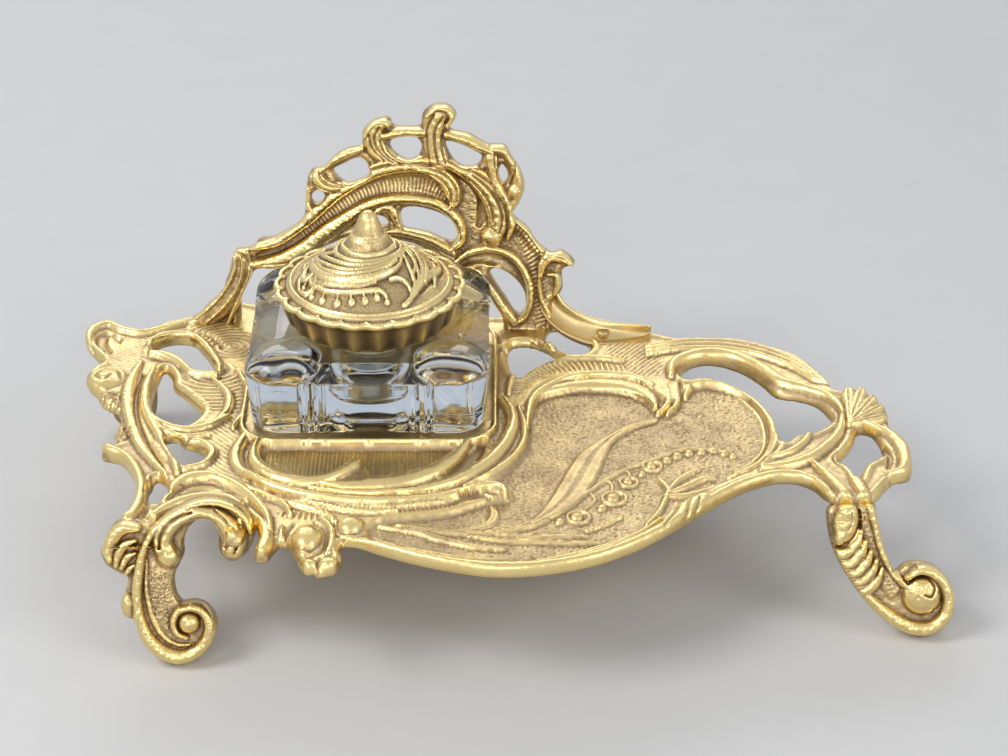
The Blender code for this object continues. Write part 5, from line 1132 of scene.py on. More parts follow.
def strip(name, upper, lower, sag, bead, thickness, facing):
    # a band from one rail to another, hollow in the middle and with a bead along the upper edge
    a = smoothPath(upper, step=0.5)
    b = smoothPath(lower, step=0.5)
    count = 70
    s = np.linspace(0, 1, count)
    a = np.column_stack([np.interp(s, np.linspace(0, 1, len(a)), a[:, k]) for k in range(3)])
    b = np.column_stack([np.interp(s, np.linspace(0, 1, len(b)), b[:, k]) for k in range(3)])
    across = a - b
    wide = np.linalg.norm(across, axis=1)[:, None]
    across /= wide
    along = np.gradient((a + b) / 2, axis=0)
    normal = np.cross(along, across)
    normal /= np.linalg.norm(normal, axis=1)[:, None]
    normal *= np.sign((normal * np.array(facing)).sum(axis=1))[:, None]
    ends = np.sqrt(np.clip(1 - (2 * s - 1) ** 30, 0, 1))[:, None]
    shares = np.linspace(0, 1, 15)
    front = [(t, -sag * math.sin(math.pi * min(1, t / 0.85)) ** 0.8 if t < 0.85 else 0.0) for t in shares]
    section = []
    for t, drop in front:
        ridge = bead * math.exp(-((t - 0.9) / 0.09) ** 2) + 0.35 * bead * math.exp(-((t - 0.06) / 0.06) ** 2)
        section.append((t, drop + ridge))
    section += [(1.03, -0.3 * thickness), (1.0, -0.75 * thickness)]
    section += [(t, -thickness) for t in (0.9, 0.7, 0.5, 0.3, 0.1)]
    section += [(0.0, -0.75 * thickness), (-0.03, -0.3 * thickness)]
    rings = [b + across * wide * t + normal * ends * (lift + thickness / 2) - normal * thickness / 2
             for t, lift in section]
    points = np.stack(rings, axis=1).reshape(-1, 3)
    n = len(section)
    faces = [[i * n + j, (i + 1) * n + j, (i + 1) * n + (j + 1) % n, i * n + (j + 1) % n]
             for i in range(count - 1) for j in range(n)]
    faces += [list(range(n)), list(range((count - 1) * n, count * n))[::-1]]
    made = newMesh(name, points, faces, toWorld)
    pick(made)
    bpy.ops.object.mode_set(mode="EDIT")
    bpy.ops.mesh.select_all(action="SELECT")
    bpy.ops.mesh.normals_make_consistent(inside=False)
    bpy.ops.object.mode_set(mode="OBJECT")
    # worn brightness along the bead; the hollow band a lower value, painted shade, and the back an even 0.45
    wear = np.tile([0.58 + 0.36 * max(0.0, h / bead) if t > 0 else 0.45 for t, h in section], count)
    writeAttribute(made, "wear", np.clip(wear, 0, 1))
    writeAttribute(made, "ground", np.full(len(points), 0.1))
    return made


strap = strip(
    "strap",
    [(13.2, 58.4, 43.5), (13.4, 57.6, 39.6), (14.8, 56.4, 36.8), (17.8, 54.8, 34.8), (22, 53.2, 33.7),
     (27, 52.0, 33.1), (32, 51.5, 32.8), (36.8, 51.4, 32.4)],
    [(8.6, 57.6, 42), (8.7, 56, 37), (10.2, 53.4, 34), (13, 50.6, 32.2), (17, 47.8, 31), (21.5, 46, 30.3),
     (27, 46.4, 30), (32, 47.6, 29.8), (36.4, 49.2, 29.8)],
    1.1, 0.9, 2.0, (0, -0.7, 0.7))
crest = joinAll([crest, strap])
crest.name = "gallery_openwork"
trayPiece = joinAll([trayPiece] + overFeet)
trayPiece.name = "tray_casting"
print("scrolls swept")


# The glass: a pressed square block with domed corners, fluted sides and a round well

glassMake = {
    "half": 28.6,           # half its width across the flats
    "corner": 8.4,          # radius of its upright corners
    "base": 31.32,
    "shoulder": 45.3,
    "taper": 1.5,           # how far the sides lean in towards the base
    "slopeRise": 2.3,       # the middle panels' slopes up to the flat
    "slopeRun": 6.5,
    "domeRise": 5.2,        # the pillows on the corners
    "domeMiddle": 19.0,
    "domeHalf": 9.6,
    "domePower": 2.4,
    "neck": 14.4,
    "neckTop": 53.2,
    "well": 10.0,           # radius of the ink chamber
    "wellFloor": 33.6,
    "wellRound": 3.0,
    "columns": 520,
}


def glassSide(t, half):
    # how far the side stands in from its flat, at a distance from its middle
    flutes = 0.75 * (np.exp(-((np.abs(t) - 14.9) / 0.6) ** 2) + np.exp(-((np.abs(t) - 12.3) / 0.6) ** 2))
    panel = 0.35 * softStep(12.5 - np.abs(t), 0, 3)
    return flutes + panel


def glassRing(count, half, corner):
    # points evenly spaced round a rounded square, from the middle of the right side
    flat = half - corner
    arc = corner * math.pi / 2
    side = 2 * flat + arc
    s = (np.arange(count) + 0.5) / count * 4 * side
    quarter, t = (s // side).astype(int), s % side
    x = np.full(count, float(half))
    y = t - flat
    turn = (t - 2 * flat) / corner
    bent = t > 2 * flat
    x[bent] = flat + corner * np.cos(turn[bent])
    y[bent] = flat + corner * np.sin(turn[bent])
    nx, ny = np.ones(count), np.zeros(count)
    nx[bent], ny[bent] = np.cos(turn[bent]), np.sin(turn[bent])
    inward = np.where(bent, 0, glassSide(t - flat, half))
    angle = quarter * math.pi / 2
    c, sn = np.cos(angle), np.sin(angle)
    return (np.column_stack([x * c - y * sn, x * sn + y * c]),
            np.column_stack([nx * c - ny * sn, nx * sn + ny * c]), inward)


def glassTop(x, y, make):
    # height over the shoulder of the glass's upper face
    a, b = np.abs(x), np.abs(y)
    half, corner = make["half"], make["corner"]
    ca, cb = np.maximum(a - half + corner, 0), np.maximum(b - half + corner, 0)
    inside = np.where((ca > 0) & (cb > 0), corner - np.hypot(ca, cb), half - np.maximum(a, b))
    slope = make["slopeRise"] * np.clip(inside / make["slopeRun"], 0, 1)
    reach = sum(np.abs((t - make["domeMiddle"]) / make["domeHalf"]) ** make["domePower"] for t in (a, b))
    dome = make["domeRise"] * np.clip(1 - reach, 0, 1) ** 0.7
    inner = softStep(np.hypot(a, b), 17.5, 22.5)
    return slope + np.maximum(dome - slope, 0) * inner


def makeGlass(make):
    outline, normal, inward = glassRing(make["columns"], make["half"], make["corner"])
    angle = np.arctan2(outline[:, 1], outline[:, 0])
    circle = np.column_stack([np.cos(angle), np.sin(angle)])
    rings = []

    def wall(inset, z, share=1.0):
        lean = make["taper"] * (make["shoulder"] - z) / (make["shoulder"] - make["base"])
        p = outline - normal * (inset + lean + inward * share)[:, None]
        rings.append(np.column_stack([p, np.full(len(p), z)]))

    def around(radius, z):
        rings.append(np.column_stack([circle * radius, np.full(len(circle), z)]))

    base, shoulder = make["base"], make["shoulder"]
    around(2.0, base + 0.5)
    around(14.0, base + 0.5)
    wall(3.2, base + 0.4, 0.2)
    wall(2.0, base, 0.5)
    wall(0.8, base + 0.05)
    wall(0.25, base + 0.3)
    wall(0.0, base + 0.9)
    for z in np.linspace(base + 2, shoulder - 0.6, 9):
        wall(0.0, z)
    wall(0.0, shoulder - 0.12)
    rim = outline - normal * (0.12 + inward)[:, None]
    neck = circle * make["neck"]
    for s in np.linspace(0, 1, 46) ** 1.15:
        p = rim * (1 - s) + neck * s
        z = shoulder + glassTop(p[:, 0], p[:, 1], make)
        z += 0.35 * softStep(np.full(len(p), s), 0.93, 1)
        rings.append(np.column_stack([p, z]))
    top = make["neckTop"]
    for radius, z in [(make["neck"] - 0.2, top - 2.6), (make["neck"] - 0.2, top - 0.7),
                      (make["neck"] - 0.45, top - 0.2), (make["neck"] - 0.9, top),
                      (make["well"] + 0.9, top), (make["well"] + 0.3, top - 0.25), (make["well"], top - 0.8)]:
        around(radius, z)
    bend = make["wellRound"]
    for z in np.linspace(top - 3, make["wellFloor"] + bend + 0.3, 7):
        around(make["well"] - 0.12 * (top - z) / 18, z)
    for turn in np.linspace(0.1, 1, 8) * math.pi / 2:
        around(make["well"] - 0.12 - bend * (1 - math.cos(turn)), make["wellFloor"] + bend * (1 - math.sin(turn)))
    around(2.0, make["wellFloor"] - 0.1)
    n = len(circle)
    points = np.vstack(rings)
    points[:, 0] += wellPlan[0]
    points[:, 1] += wellPlan[1]
    faces = []
    for i in range(len(rings) - 1):
        j = np.arange(n)
        k = (j + 1) % n
        faces += np.column_stack([i * n + j, i * n + k, (i + 1) * n + k, (i + 1) * n + j]).tolist()
    faces += [list(range(n))[::-1], list(range((len(rings) - 1) * n, len(rings) * n))]
    made = newMesh("pressed_glass_inkwell", points, faces, toWorld)
    pick(made)
    bpy.ops.object.shade_smooth_by_angle(angle=math.radians(38))
    return made


glassPiece = makeGlass(glassMake)
print("glass", len(glassPiece.data.polygons), "faces")


# The lid: turned, then chased with folds, a festoon and leaves; drawn on its own plan

lidMake = {
    "foot": 48.65,          # heights
    "border": 56.1,
    "footRadius": 19.3,
    "rimRadius": 22.75,
    "scallops": 22,
    "scallopDepth": 0.75,
    "flute": 0.7,           # depth of the skirt's flutes
    "columns": 792,
    "wall": 1.9,
    "limit": 190000,        # triangles
}
lidProfile = [      # radius and height of the upper face
    (0.5, 76.0), (1.15, 75.75), (1.7, 75.2), (2.1, 74.6), (2.4, 73.9), (2.75, 73.0), (3.05, 72.2), (3.35, 71.3),
    (3.6, 70.6), (4.0, 70.1), (4.6, 69.6), (5.0, 68.8), (5.5, 67.9), (6.2, 67.1), (7, 66.5), (8, 65.7), (9, 64.9), (10.5, 63.9), (12, 62.6),
    (13.5, 61.2), (15, 60.0), (16.5, 59.1), (17.6, 58.5), (18.7, 58.15), (20, 57.75), (21.4, 57.3), (22.3, 57.0),
]

chased = Relief((-23.6, -23.6), (23.6, 23.6), 0.14)
chased.edge += 20


def turned(points, angle):
    c, s = math.cos(math.radians(angle)), math.sin(math.radians(angle))
    return [(x * c - y * s, x * s + y * c, *rest) for x, y, *rest in points]


def rimOf(angle):
    return lidMake["rimRadius"] - lidMake["scallopDepth"] * (1 - np.abs(np.cos(lidMake["scallops"] * angle / 2)))


for angle in (0, 180):
    # the folds that wind round the cone
    for line, lift in [
        ([(-15.5, 5.8, 0.3), (-15.4, 1.2, 0.6), (-14.3, -2.6, 0.7), (-12.3, -6.6, 0.7), (-9.8, -9, 0.7),
          (-5.6, -11.2, 0.7), (-1.5, -12, 0.6), (2, -11.4, 0.3)], 0.5),
        ([(-13.4, 6, 0.4), (-13.6, 0.7, 0.8), (-11.8, -4.9, 0.95), (-9.3, -8.2, 1.0), (-5.6, -10.4, 1.0),
          (-2.1, -11, 1.0), (1.7, -10.5, 0.9), (4.5, -9.1, 0.8), (6.2, -7.8, 0.5), (7.6, -5.6, 0.3)], 0.95),
        ([(-12.6, 7.4, 0.3), (-13, 3.2, 0.6), (-11.2, -4.1, 0.6), (-8.1, -7.6, 0.6), (-4.5, -9.4, 0.6),
          (-1, -9.8, 0.6), (2.5, -8.9, 0.6), (4.8, -7.5, 0.5), (6.8, -5, 0.3)], 0.8),
        ([(-12, 7.5, 0.3), (-12.4, 2, 0.5), (-10.3, -3.4, 0.55), (-6.9, -7.1, 0.55), (-3.3, -8.7, 0.55),
          (0.2, -8.8, 0.55), (3, -8, 0.55), (5.3, -6.2, 0.5), (7.4, -3, 0.3)], 0.65),
        ([(-10.6, 6.6, 0.3), (-11, 1.6, 0.5), (-8.2, -3.9, 0.5), (-4.6, -7.1, 0.5), (-1, -8, 0.5),
          (2.5, -7.4, 0.5), (5, -5.6, 0.5), (7, -2.9, 0.5), (8.2, 0.4, 0.3)], 0.6),
        ([(-7.6, 4.4, 0.3), (-8.1, 0, 0.4), (-7.1, -3.2, 0.45), (-4.6, -5.9, 0.45), (-1, -7.2, 0.45),
          (2.4, -6.7, 0.45), (5.3, -4.8, 0.45), (7.5, -0.9, 0.4), (7.6, 3, 0.3)], 0.5),
        ([(-6.4, 1, 0.3), (-5.9, -1.7, 0.4), (-4, -4.6, 0.4), (-1.1, -5.9, 0.4), (2.4, -5.4, 0.4),
          (5, -3.2, 0.4), (6.2, 0, 0.3)], 0.4),
    ]:
        chased.bead(turned(line, angle), lift)
    # the festoon and its drops
    chased.bead(turned([(-14.6, -2.2, 0.3), (-13.9, -4.4, 0.4), (-13.2, -7.1, 0.45), (-11.6, -8.9, 0.5),
                        (-9.5, -10.9, 0.5), (-6.8, -12.2, 0.5), (-3.8, -13, 0.5), (-0.9, -13.1, 0.5),
                        (1.4, -12.9, 0.5), (3.1, -12.8, 0.5), (4.3, -13.4, 0.45), (4.8, -14.5, 0.4)], angle), 0.6)
    for x, y, endX, endY, size in [(-14.2, -3.6, -15.2, -6.8, 0.5), (-12.4, -8.3, -13.1, -10.9, 0.7),
                                   (-10, -10.6, -10.5, -13, 0.85), (-6.8, -12.2, -6.9, -14.8, 0.95),
                                   (-3.8, -13, -3.5, -15.1, 0.9), (-0.9, -13.1, -0.4, -15, 0.85),
                                   (2, -12.9, 2.4, -14.3, 0.75), (4.7, -14, 4.8, -14.9, 0.65)]:
        chased.bead(turned([(x, y, 0.34), ((x + endX) / 2, (y + endY) / 2, 0.3), (endX, endY, 0.42)], angle), 0.55)
        (bossX, bossY), = turned([(endX, endY)], angle)
        chased.boss(bossX, bossY, size, 0.85)
    # the comma, the spikes, the long leaf and the scrolled leaves beside it
    for line, lift in [
        ([(5.4, -10.2, 0.4), (6.8, -9.4, 0.45), (8.3, -9.1, 0.5), (9.4, -9.5, 0.5), (10.2, -10.7, 0.5),
          (10.3, -11.9, 0.5), (9.8, -13.5, 0.5), (8.7, -14.8, 0.6)], 0.7),
        ([(8.3, -2.2, 0.3), (9.6, -4.9, 0.5), (10.5, -6.5, 0.55), (11, -8.3, 0.5), (10.6, -10.1, 0.3)], 0.75),
        ([(8.3, 1, 0.3), (10.1, -0.7, 0.5), (11.3, -3.2, 0.55), (11.9, -5.5, 0.55), (11.7, -7.8, 0.45),
          (10.9, -10.3, 0.3)], 0.8),
        ([(9.4, 5, 0.3), (11.4, 1.7, 0.5), (12.7, -1.1, 0.6), (12.9, -4.2, 0.6), (12.1, -7.5, 0.4)], 0.85),
        ([(8.7, -14.8, 0.4), (10.9, -11.2, 0.5), (13.1, -6, 0.55), (15.1, -1.7, 0.55), (16.4, 1.9, 0.5),
          (16.2, 6.6, 0.4)], 0.75),
        ([(12.6, 1.6, 0.3), (13.6, 4, 0.7), (15, 4, 0.8), (15.7, 1.9, 0.8), (14.8, -0.8, 0.6), (13.4, -3.6, 0.3)],
         0.85),
        ([(12.4, 5.6, 0.4), (12.8, 8.6, 0.7), (14.6, 9.4, 0.8), (15.9, 8, 0.6)], 0.8),
    ]:
        chased.bead(turned(line, angle), lift)
    for line in [
        [(12.2, -9.8, 0.6), (14.2, -5.4, 1.2), (16.2, -0.6, 1.2), (17.2, 3, 0.6)],
        [(13.2, 2.2, 0.3), (14.4, 2.2, 0.5), (14.2, 0, 0.3)],
    ]:
        chased.crease(turned(line, angle), 0.5)
radius, theta = np.hypot(chased.U, chased.V), np.arctan2(chased.V, chased.U)
chased.height *= softStep(radius, 4.4, 5.4) * (1 - softStep(radius, 17.5, 18.2))
for ringRadius, lift, width in ((18.75, 0.5, 0.3), (6.3, 0.25, 0.3), (4.05, 0.16, 0.22)):
    chased.height += lift * np.exp(-((radius - ringRadius) / width) ** 2)

# the border: a ribbed half-round shell in every scallop, inside a thin rim
phase = (lidMake["scallops"] * theta / (2 * math.pi) + 0.5) % 1 * 2 - 1
shellArc = 19.9 + 1.75 * np.sqrt(np.clip(1 - np.abs(phase) ** 2.2, 0, 1))
shell = softStep(shellArc - radius, -0.1, 0.25) * softStep(radius, 19.5, 20.0)
chased.height -= shell * (0.55 - 0.16 * np.cos(phase * 7 * math.pi) * softStep(radius, 20.1, 21))
chased.height += 0.32 * np.exp(-((radius - shellArc - 0.15) / 0.24) ** 2)
chased.height += 0.4 * np.exp(-((rimOf(theta) - 0.4 - radius) / 0.24) ** 2)
chased.height += 0.03 * grain(chased, 0.7, 51)
chased.ground += (1 - softStep(np.abs(chased.height), 0.05, 0.3)) * (radius > 8)
# painted shade in the chased hollows, with wear on the raised work
lidWearAndPaintedShade = np.clip(1.6 * wearAndPaintedShadeOf(chased, chased.height) - 0.28, 0, 1)


def makeLid(make):
    count = make["columns"]
    angle = (np.arange(count) + 0.5) / count * 2 * math.pi
    c, s = np.cos(angle), np.sin(angle)
    rim = rimOf(angle)
    rings, ringWearAndPaintedShade = [], []

    def add(r, z, wear):
        rings.append(np.column_stack([c * r, s * r, np.broadcast_to(z, count)]))
        ringWearAndPaintedShade.append(np.broadcast_to(wear, count))

    for r, z in smoothPath(lidProfile, step=0.18):
        out = r - (22.3 - (rim - 0.3)) * softStep(r, 19.5, 22.3)
        add(out, z + sample(chased.height, chased, c * out, s * out), sample(lidWearAndPaintedShade, chased, c * out, s * out))
    # the rim's lip bright with wear, its underside dark with painted shade
    for inset, rise, wear in ((0.05, 0.75, 0.85), (0.0, 0.35, 0.85), (0.2, -0.1, 0.6), (0.9, -0.5, 0.25)):
        add(rim - inset, make["border"] + rise, wear)
    flute = make["flute"] * np.abs(np.sin(make["scallops"] * angle / 2))
    low, high = make["footRadius"], make["rimRadius"] - 1.5
    # each flute lighter on its crest and darker in its hollow: painted shade
    for share in np.linspace(1, 0, 10):
        z = make["foot"] + 0.4 + (make["border"] - 0.9 - make["foot"] - 0.4) * share
        add(low + (high - low) * share ** 0.8 - flute + 0.2, z, 0.7 - 0.6 * flute / make["flute"])
    inner = low - make["wall"]
    # inside the cap the value drops to 0.15: painted shade
    for r, z, wear in [(low - flute * 0.9, make["foot"] + 0.12, 0.7), (low - 0.6, make["foot"], 0.6),
                       (inner + 0.4, make["foot"], 0.4), (inner, make["foot"] + 0.5, 0.2), (inner, 52, 0.15),
                       (inner, 55.4, 0.15), (inner - 0.8, 56.4, 0.15), (14, 57.2, 0.15), (9, 58.2, 0.15),
                       (4, 58.7, 0.15), (0.6, 58.9, 0.15)]:
        add(r, z, wear)
    points = np.vstack(rings)
    points[:, :2] += wellPlan
    j = np.arange(count)
    k = (j + 1) % count
    faces = []
    for i in range(0, len(rings) * count - count, count):
        faces += np.column_stack([i + k, i + j, i + count + j, i + count + k]).tolist()
    faces += [list(range(count)), list(range((len(rings) - 1) * count, len(rings) * count))[::-1]]
    made = newMesh("gadrooned_lid", points, faces, toWorld)
    writeAttribute(made, "wear", np.concatenate(ringWearAndPaintedShade))
    writeAttribute(made, "ground", np.concatenate([sample(chased.ground, chased, ring[:, 0], ring[:, 1])
                                                   for ring in rings]))
    thin = made.modifiers.new("thin", "DECIMATE")
    thin.ratio = make["limit"] / (2 * len(faces))
    pick(made)
    bpy.ops.object.modifier_apply(modifier=thin.name)
    made.data.shade_smooth()
    return made


lidPiece = makeLid(lidMake)
print("lid", len(lidPiece.data.polygons), "faces")


# Rivets and screws, each over its own CAD node

fixingMake = {
    "rivetHead": 1.8,       # radii
    "rivetShank": 1.0,
    "screwHead": 2.2,
    "screwShank": 1.2,
    "slotWidth": 0.55,
    "slotDepth": 0.6,
    "sunk": {"right_rivet": 1.3},       # heads that sit lower, on the strap's hollow face
}


def turnedRod(name, radius, low, high, middle, soften):
    bpy.ops.object.select_all(action="DESELECT")
    bpy.ops.mesh.primitive_cylinder_add(vertices=40, radius=radius * mm, depth=(high - low) * mm,
                                        location=(middle.x, middle.y, (low + high) / 2 * mm))
    rod = bpy.context.object
    rod.name = name
    bpy.ops.object.transform_apply(location=True, rotation=True, scale=True)
    soft = rod.modifiers.new("round", "BEVEL")
    soft.width = soften * mm
    soft.segments = 4
    soft.limit_method = "ANGLE"
    bpy.ops.object.modifier_apply(modifier=soft.name)
    return rod


def cutWith(thing, tool, kind):
    step = thing.modifiers.new("step", "BOOLEAN")
    step.operation = kind
    step.solver = "EXACT"
    step.object = tool
    pick(thing)
    bpy.ops.object.modifier_apply(modifier=step.name)
    bpy.data.objects.remove(tool, do_unlink=True)


def finishFixing(thing):
    pick(thing)
    bpy.ops.object.shade_smooth_by_angle(angle=math.radians(40))
    z = np.array([v.co.z for v in thing.data.vertices])
    writeAttribute(thing, "wear", np.full(len(z), 0.6))
    writeAttribute(thing, "ground", np.zeros(len(z)))
    return thing


def makeFixing(node):
    low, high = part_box(node)
    middle = (low + high) / 2
    bottom, top = low.z / mm, high.z / mm - fixingMake["sunk"].get(node, 0)
    if node.endswith("screw"):
        made = turnedRod(node + "_slotted", fixingMake["screwShank"], bottom + 0.5, top, middle, 0.1)
        head = turnedRod("head", fixingMake["screwHead"], bottom, bottom + 1.4, middle, 0.35)
        cutWith(made, head, "UNION")
        bpy.ops.object.select_all(action="DESELECT")
        bpy.ops.mesh.primitive_cube_add(size=1, location=(0, 0, 0))
        slot = bpy.context.object
        slot.data.transform(Matrix.Translation((middle.x, middle.y, low.z))
                            @ Matrix.Rotation(0.6, 4, "Z")
                            @ Matrix.Diagonal((6 * mm, fixingMake["slotWidth"] * mm,
                                               2 * fixingMake["slotDepth"] * mm, 1)))
        cutWith(made, slot, "DIFFERENCE")
    else:
        made = turnedRod(node + "_domed", fixingMake["rivetShank"], bottom + 0.4, top - 0.4, middle, 0.05)
        tall = 1.7 if node in fixingMake["sunk"] else 0.8
        for start, end in ((bottom, bottom + 0.8), (top - tall, top)):
            cutWith(made, turnedRod("head", fixingMake["rivetHead"], start, end, middle, 0.47 * (end - start)),
                    "UNION")
    return finishFixing(made)


fixings = {node: makeFixing(node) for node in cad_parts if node.endswith(("screw", "rivet"))}
print(len(fixings), "fixings made")


# Materials

class Shade:
    # a node socket that can be reckoned with

    def __init__(self, look, socket):
        self.look = look
        self.socket = socket

    def sum(self, operation, a, b=None, c=None):
        values = {0: a, 1: b, 2: c}
        return self.look.node("ShaderNodeMath", {"operation": operation},
                              {key: value for key, value in values.items() if value is not None})

    def __add__(self, other): return self.sum("ADD", self, other)
    def __radd__(self, other): return self.sum("ADD", other, self)
    def __sub__(self, other): return self.sum("SUBTRACT", self, other)
    def __rsub__(self, other): return self.sum("SUBTRACT", other, self)
    def __mul__(self, other): return self.sum("MULTIPLY", self, other)
    def __rmul__(self, other): return self.sum("MULTIPLY", other, self)
    def __truediv__(self, other): return self.sum("DIVIDE", self, other)
    def __pow__(self, other): return self.sum("POWER", self, other)

    def clamp(self, low=0.0, high=1.0):
        return self.sum("MAXIMUM", self.sum("MINIMUM", self, high), low)

    def step(self, low, high):
        # 0 below low, 1 above high, smooth between
        return self.look.node("ShaderNodeMapRange", {"interpolation_type": "SMOOTHSTEP"},
                              {"Value": self, "From Min": low, "From Max": high})


class Look:
    def __init__(self, name):
        self.material = bpy.data.materials.new(name)
        self.material.use_nodes = True
        self.tree = self.material.node_tree
        self.shader = self.tree.nodes["Principled BSDF"]

    def node(self, kind, settings=None, sockets=None, output=0):
        made = self.tree.nodes.new(kind)
        for key, value in (settings or {}).items():
            if key == "stops":
                ramp = made.color_ramp
                while len(ramp.elements) < len(value):
                    ramp.elements.new(0.5)
                for element, (place, colour) in zip(ramp.elements, value):
                    element.position = place
                    element.color = (*colour, 1)
            else:
                setattr(made, key, value)
        for key, value in (sockets or {}).items():
            self.put(made.inputs[key], value)
        return Shade(self, made.outputs[output])

    def put(self, socket, value):
        if isinstance(value, Shade):
            self.tree.links.new(value.socket, socket)
        elif isinstance(value, tuple) and len(value) == 3 and socket.type == "RGBA":
            socket.default_value = (*value, 1)
        else:
            socket.default_value = value

    def set(self, **values):
        for key, value in values.items():
            self.put(self.shader.inputs[key.replace("_", " ")], value)

    def place(self):
        return self.node("ShaderNodeTexCoord", output=3)

    def attribute(self, name):
        return self.node("ShaderNodeAttribute", {"attribute_name": name}, output=2)

    def noise(self, scale, detail=2.0, roughness=0.5, place=None):
        return self.node("ShaderNodeTexNoise", {}, {"Vector": place or self.place(), "Scale": scale,
                                                     "Detail": detail, "Roughness": roughness})

    def mix(self, share, a, b):
        kinds = {"data_type": "RGBA"}
        return self.node("ShaderNodeMix", kinds, {0: share, 6: a, 7: b}, output=2)


def brassLook(name, values):
    # cast brass: bright on its ridges, matt and brown in its hollows, the brown being painted shade together with
    # tarnish
    look = Look(name)
    wear = look.attribute("wear")
    ground = look.attribute("ground")
    broad = look.noise(38, 3, 0.6)
    middle = look.noise(150, 3, 0.6)
    fine = look.noise(900, 2, 0.6)
    wornAndPaintedShade = (wear + (broad - 0.5) * 0.30 + (middle - 0.5) * 0.34 - ground * 0.10).clamp()
    # the ramp turns the painted shade and wear into colour
    colour = look.node("ShaderNodeValToRGB", {"stops": values["ramp"]}, {"Fac": wornAndPaintedShade})
    tarnish = ((broad - 0.5) * 2.2 + (middle - 0.5) * 1.2).step(0.25, 0.75) * (1 - wornAndPaintedShade) * values["tarnish"]
    colour = look.mix(tarnish.clamp(), colour, values["tarnishColour"])
    rough = (values["rough"] + (0.5 - wornAndPaintedShade) * values["roughSpread"] + (fine - 0.5) * 0.16
             + ground * 0.05 + tarnish * 0.2).clamp(0.12, 0.9)
    grainy = fine * 0.55 + middle * 0.45
    bump = look.node("ShaderNodeBump", {}, {"Strength": values["bump"], "Distance": 0.0002,
                                             "Height": grainy})
    look.set(Base_Color=colour, Roughness=rough, Metallic=(0.80 + wornAndPaintedShade * 0.35).clamp(), Normal=bump)
    return look.material


brassMake = {
    # from the painted shade and tarnish of the hollows to the bright worn brass of the ridges
    "ramp": [(0.0, (0.170, 0.110, 0.052)), (0.24, (0.350, 0.245, 0.135)), (0.45, (0.530, 0.400, 0.210)),
             (0.62, (0.740, 0.560, 0.250)), (1.0, (0.940, 0.740, 0.310))],
    "tarnish": 0.45,
    "tarnishColour": (0.450, 0.340, 0.230),
    "rough": 0.38,
    "roughSpread": 0.32,
    "bump": 0.35,
}
castBrass = brassLook("cast_gilt_brass", brassMake)
# the lid's and the fixings' ramps, darker, likewise paint shade into the hollows
lidBrass = brassLook("darkened_lid_brass", dict(
    brassMake, ramp=[(0.0, (0.120, 0.080, 0.035)), (0.26, (0.290, 0.205, 0.105)),
                     (0.48, (0.520, 0.390, 0.195)), (0.66, (0.740, 0.570, 0.260)),
                     (1.0, (0.940, 0.760, 0.350))], tarnish=0.6))
fixingBrass = brassLook("dull_fixing_brass", dict(
    brassMake, ramp=[(0.0, (0.090, 0.050, 0.018)), (0.30, (0.260, 0.165, 0.065)),
                     (0.52, (0.470, 0.340, 0.150)), (0.75, (0.620, 0.470, 0.220)),
                     (1.0, (0.740, 0.580, 0.290))], tarnish=0.6))


def glassLook(name):
    look = Look(name)
    wave = look.noise(120, 2, 0.5)
    streak = look.noise(700, 2, 0.6)
    bump = look.node("ShaderNodeBump", {}, {"Strength": 0.12, "Distance": 0.0003, "Height": wave})
    tint = look.mix(wave, (0.90, 0.945, 0.975), (0.95, 0.975, 0.995))
    look.set(Base_Color=tint, Roughness=(streak * 0.08 + 0.005).clamp(0.01, 0.1), Metallic=0.0, IOR=1.5,
             Transmission_Weight=1.0, Normal=bump)
    return look.material


clearGlass = glassLook("clear_pressed_glass")


# What each piece rides on and stands for

def dress(piece, node, body, material):
    piece.data.materials.clear()
    piece.data.materials.append(material)
    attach(piece, body)
    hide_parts(node)


dress(trayPiece, "tray", "stand", castBrass)
dress(crest, "gallery", "stand", castBrass)
for node, piece in feetMade.items():
    dress(piece, node, "stand", castBrass)
for node, piece in fixings.items():
    dress(piece, node, "stand", fixingBrass)
dress(glassPiece, "inkwell", "inkwell", clearGlass)
dress(lidPiece, "lid", "lid", lidBrass)


# The room: a pale floor, three soft lamps and the photograph's camera

roomMake = {
    "skyColour": (0.86, 0.90, 1.0),
    "skyStrength": 0.30,
    "paleColour": (0.78, 0.80, 0.84),       # what the camera and the metal see of the room
    "glassColour": (0.50, 0.56, 0.64),      # what is seen of it through the glass
    "cameraPlace": (planMiddle[0], planMiddle[1] - 0.586, 0.368),
    "cameraTilt": 61.2,
    "lens": 103.57,
}
bpy.ops.object.select_all(action="DESELECT")
bpy.ops.mesh.primitive_plane_add(size=6, location=(0, 0, 0))
floor = bpy.context.object
floor.name = "floor"
floorLook = Look("pale_floor")
speck = floorLook.noise(60, 3)
floorLook.set(Base_Color=floorLook.mix(speck, (0.78, 0.78, 0.77), (0.82, 0.82, 0.81)), Roughness=0.7)
floor.data.materials.append(floorLook.material)

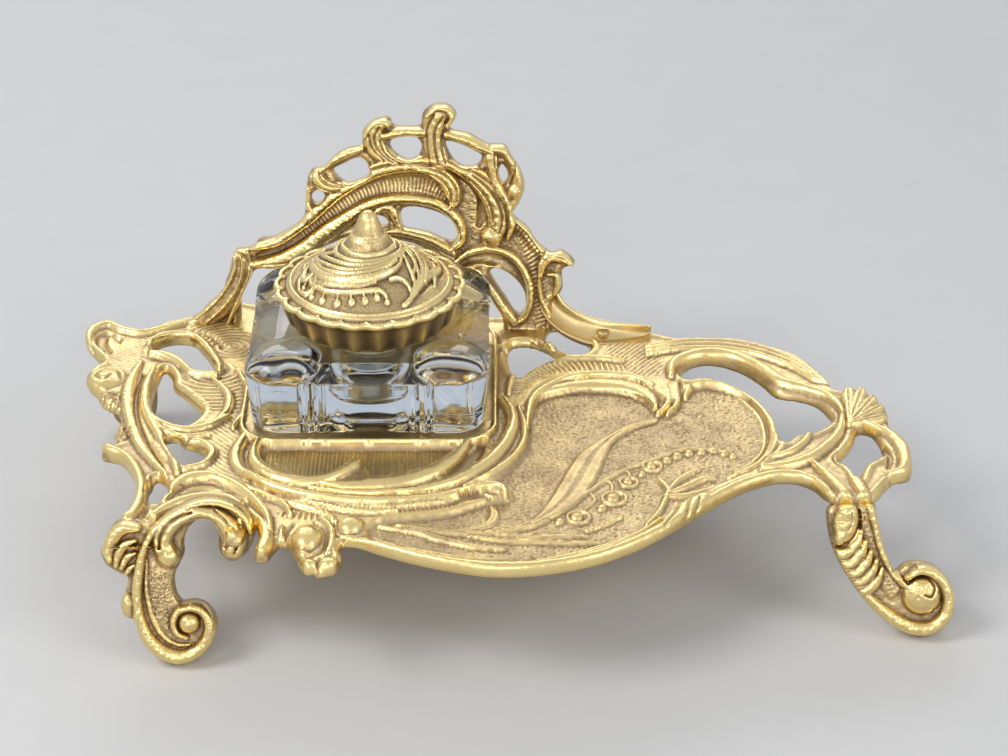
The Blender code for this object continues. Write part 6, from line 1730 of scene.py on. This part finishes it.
world = bpy.data.worlds.new("studio")
bpy.context.scene.world = world
world.use_nodes = True
soft = world.node_tree.nodes["Background"]
soft.inputs["Color"].default_value = (*roomMake["skyColour"], 1)
soft.inputs["Strength"].default_value = roomMake["skyStrength"]
pale = world.node_tree.nodes.new("ShaderNodeBackground")
pale.inputs["Color"].default_value = (*roomMake["paleColour"], 1)
through = world.node_tree.nodes.new("ShaderNodeBackground")
through.inputs["Color"].default_value = (*roomMake["glassColour"], 1)
paths = world.node_tree.nodes.new("ShaderNodeLightPath")
either = world.node_tree.nodes.new("ShaderNodeMath")
either.operation = "MAXIMUM"
blend = world.node_tree.nodes.new("ShaderNodeMixShader")
last = world.node_tree.nodes.new("ShaderNodeMixShader")
for start, end in [
    (paths.outputs["Is Camera Ray"], either.inputs[0]), (paths.outputs["Is Glossy Ray"], either.inputs[1]),
    (either.outputs[0], blend.inputs[0]), (soft.outputs[0], blend.inputs[1]), (pale.outputs[0], blend.inputs[2]),
    (paths.outputs["Is Transmission Ray"], last.inputs[0]), (blend.outputs[0], last.inputs[1]),
    (through.outputs[0], last.inputs[2]),
    (last.outputs[0], world.node_tree.nodes["World Output"].inputs["Surface"]),
]:
    world.node_tree.links.new(start, end)


def lamp(name, place, size, power, colour, target=(0, 0, 0.03)):
    light = bpy.data.lights.new(name, "AREA")
    light.shape = "RECTANGLE"
    light.size, light.size_y = size
    light.energy = power
    light.color = colour
    made = bpy.data.objects.new(name, light)
    bpy.context.scene.collection.objects.link(made)
    made.location = place
    made.visible_transmission = False
    made.rotation_euler = (Vector(target) - Vector(place)).to_track_quat("-Z", "Y").to_euler()


lamp("window", (-0.15, 1.05, 0.72), (1.1, 0.35), 3.4, (0.95, 0.97, 1.0))
lamp("key", (-0.65, -0.25, 0.75), (0.45, 0.45), 3.9, (1.0, 0.98, 0.95))
lamp("fill", (0.75, -0.45, 0.55), (0.5, 0.5), 2.0, (1.0, 0.98, 0.96))
lamp("front", (-0.15, -0.95, 0.60), (0.7, 0.3), 2.2, (1.0, 0.99, 0.97))

camera = bpy.data.cameras.new("camera")
camera.lens = roomMake["lens"]
camera.sensor_width = 36
viewer = bpy.data.objects.new("camera", camera)
bpy.context.scene.collection.objects.link(viewer)
viewer.location = roomMake["cameraPlace"]
viewer.rotation_euler = (math.radians(roomMake["cameraTilt"]), 0, 0)
bpy.context.scene.camera = viewer
bpy.context.scene.view_settings.view_transform = "Standard"

print("scene finished")
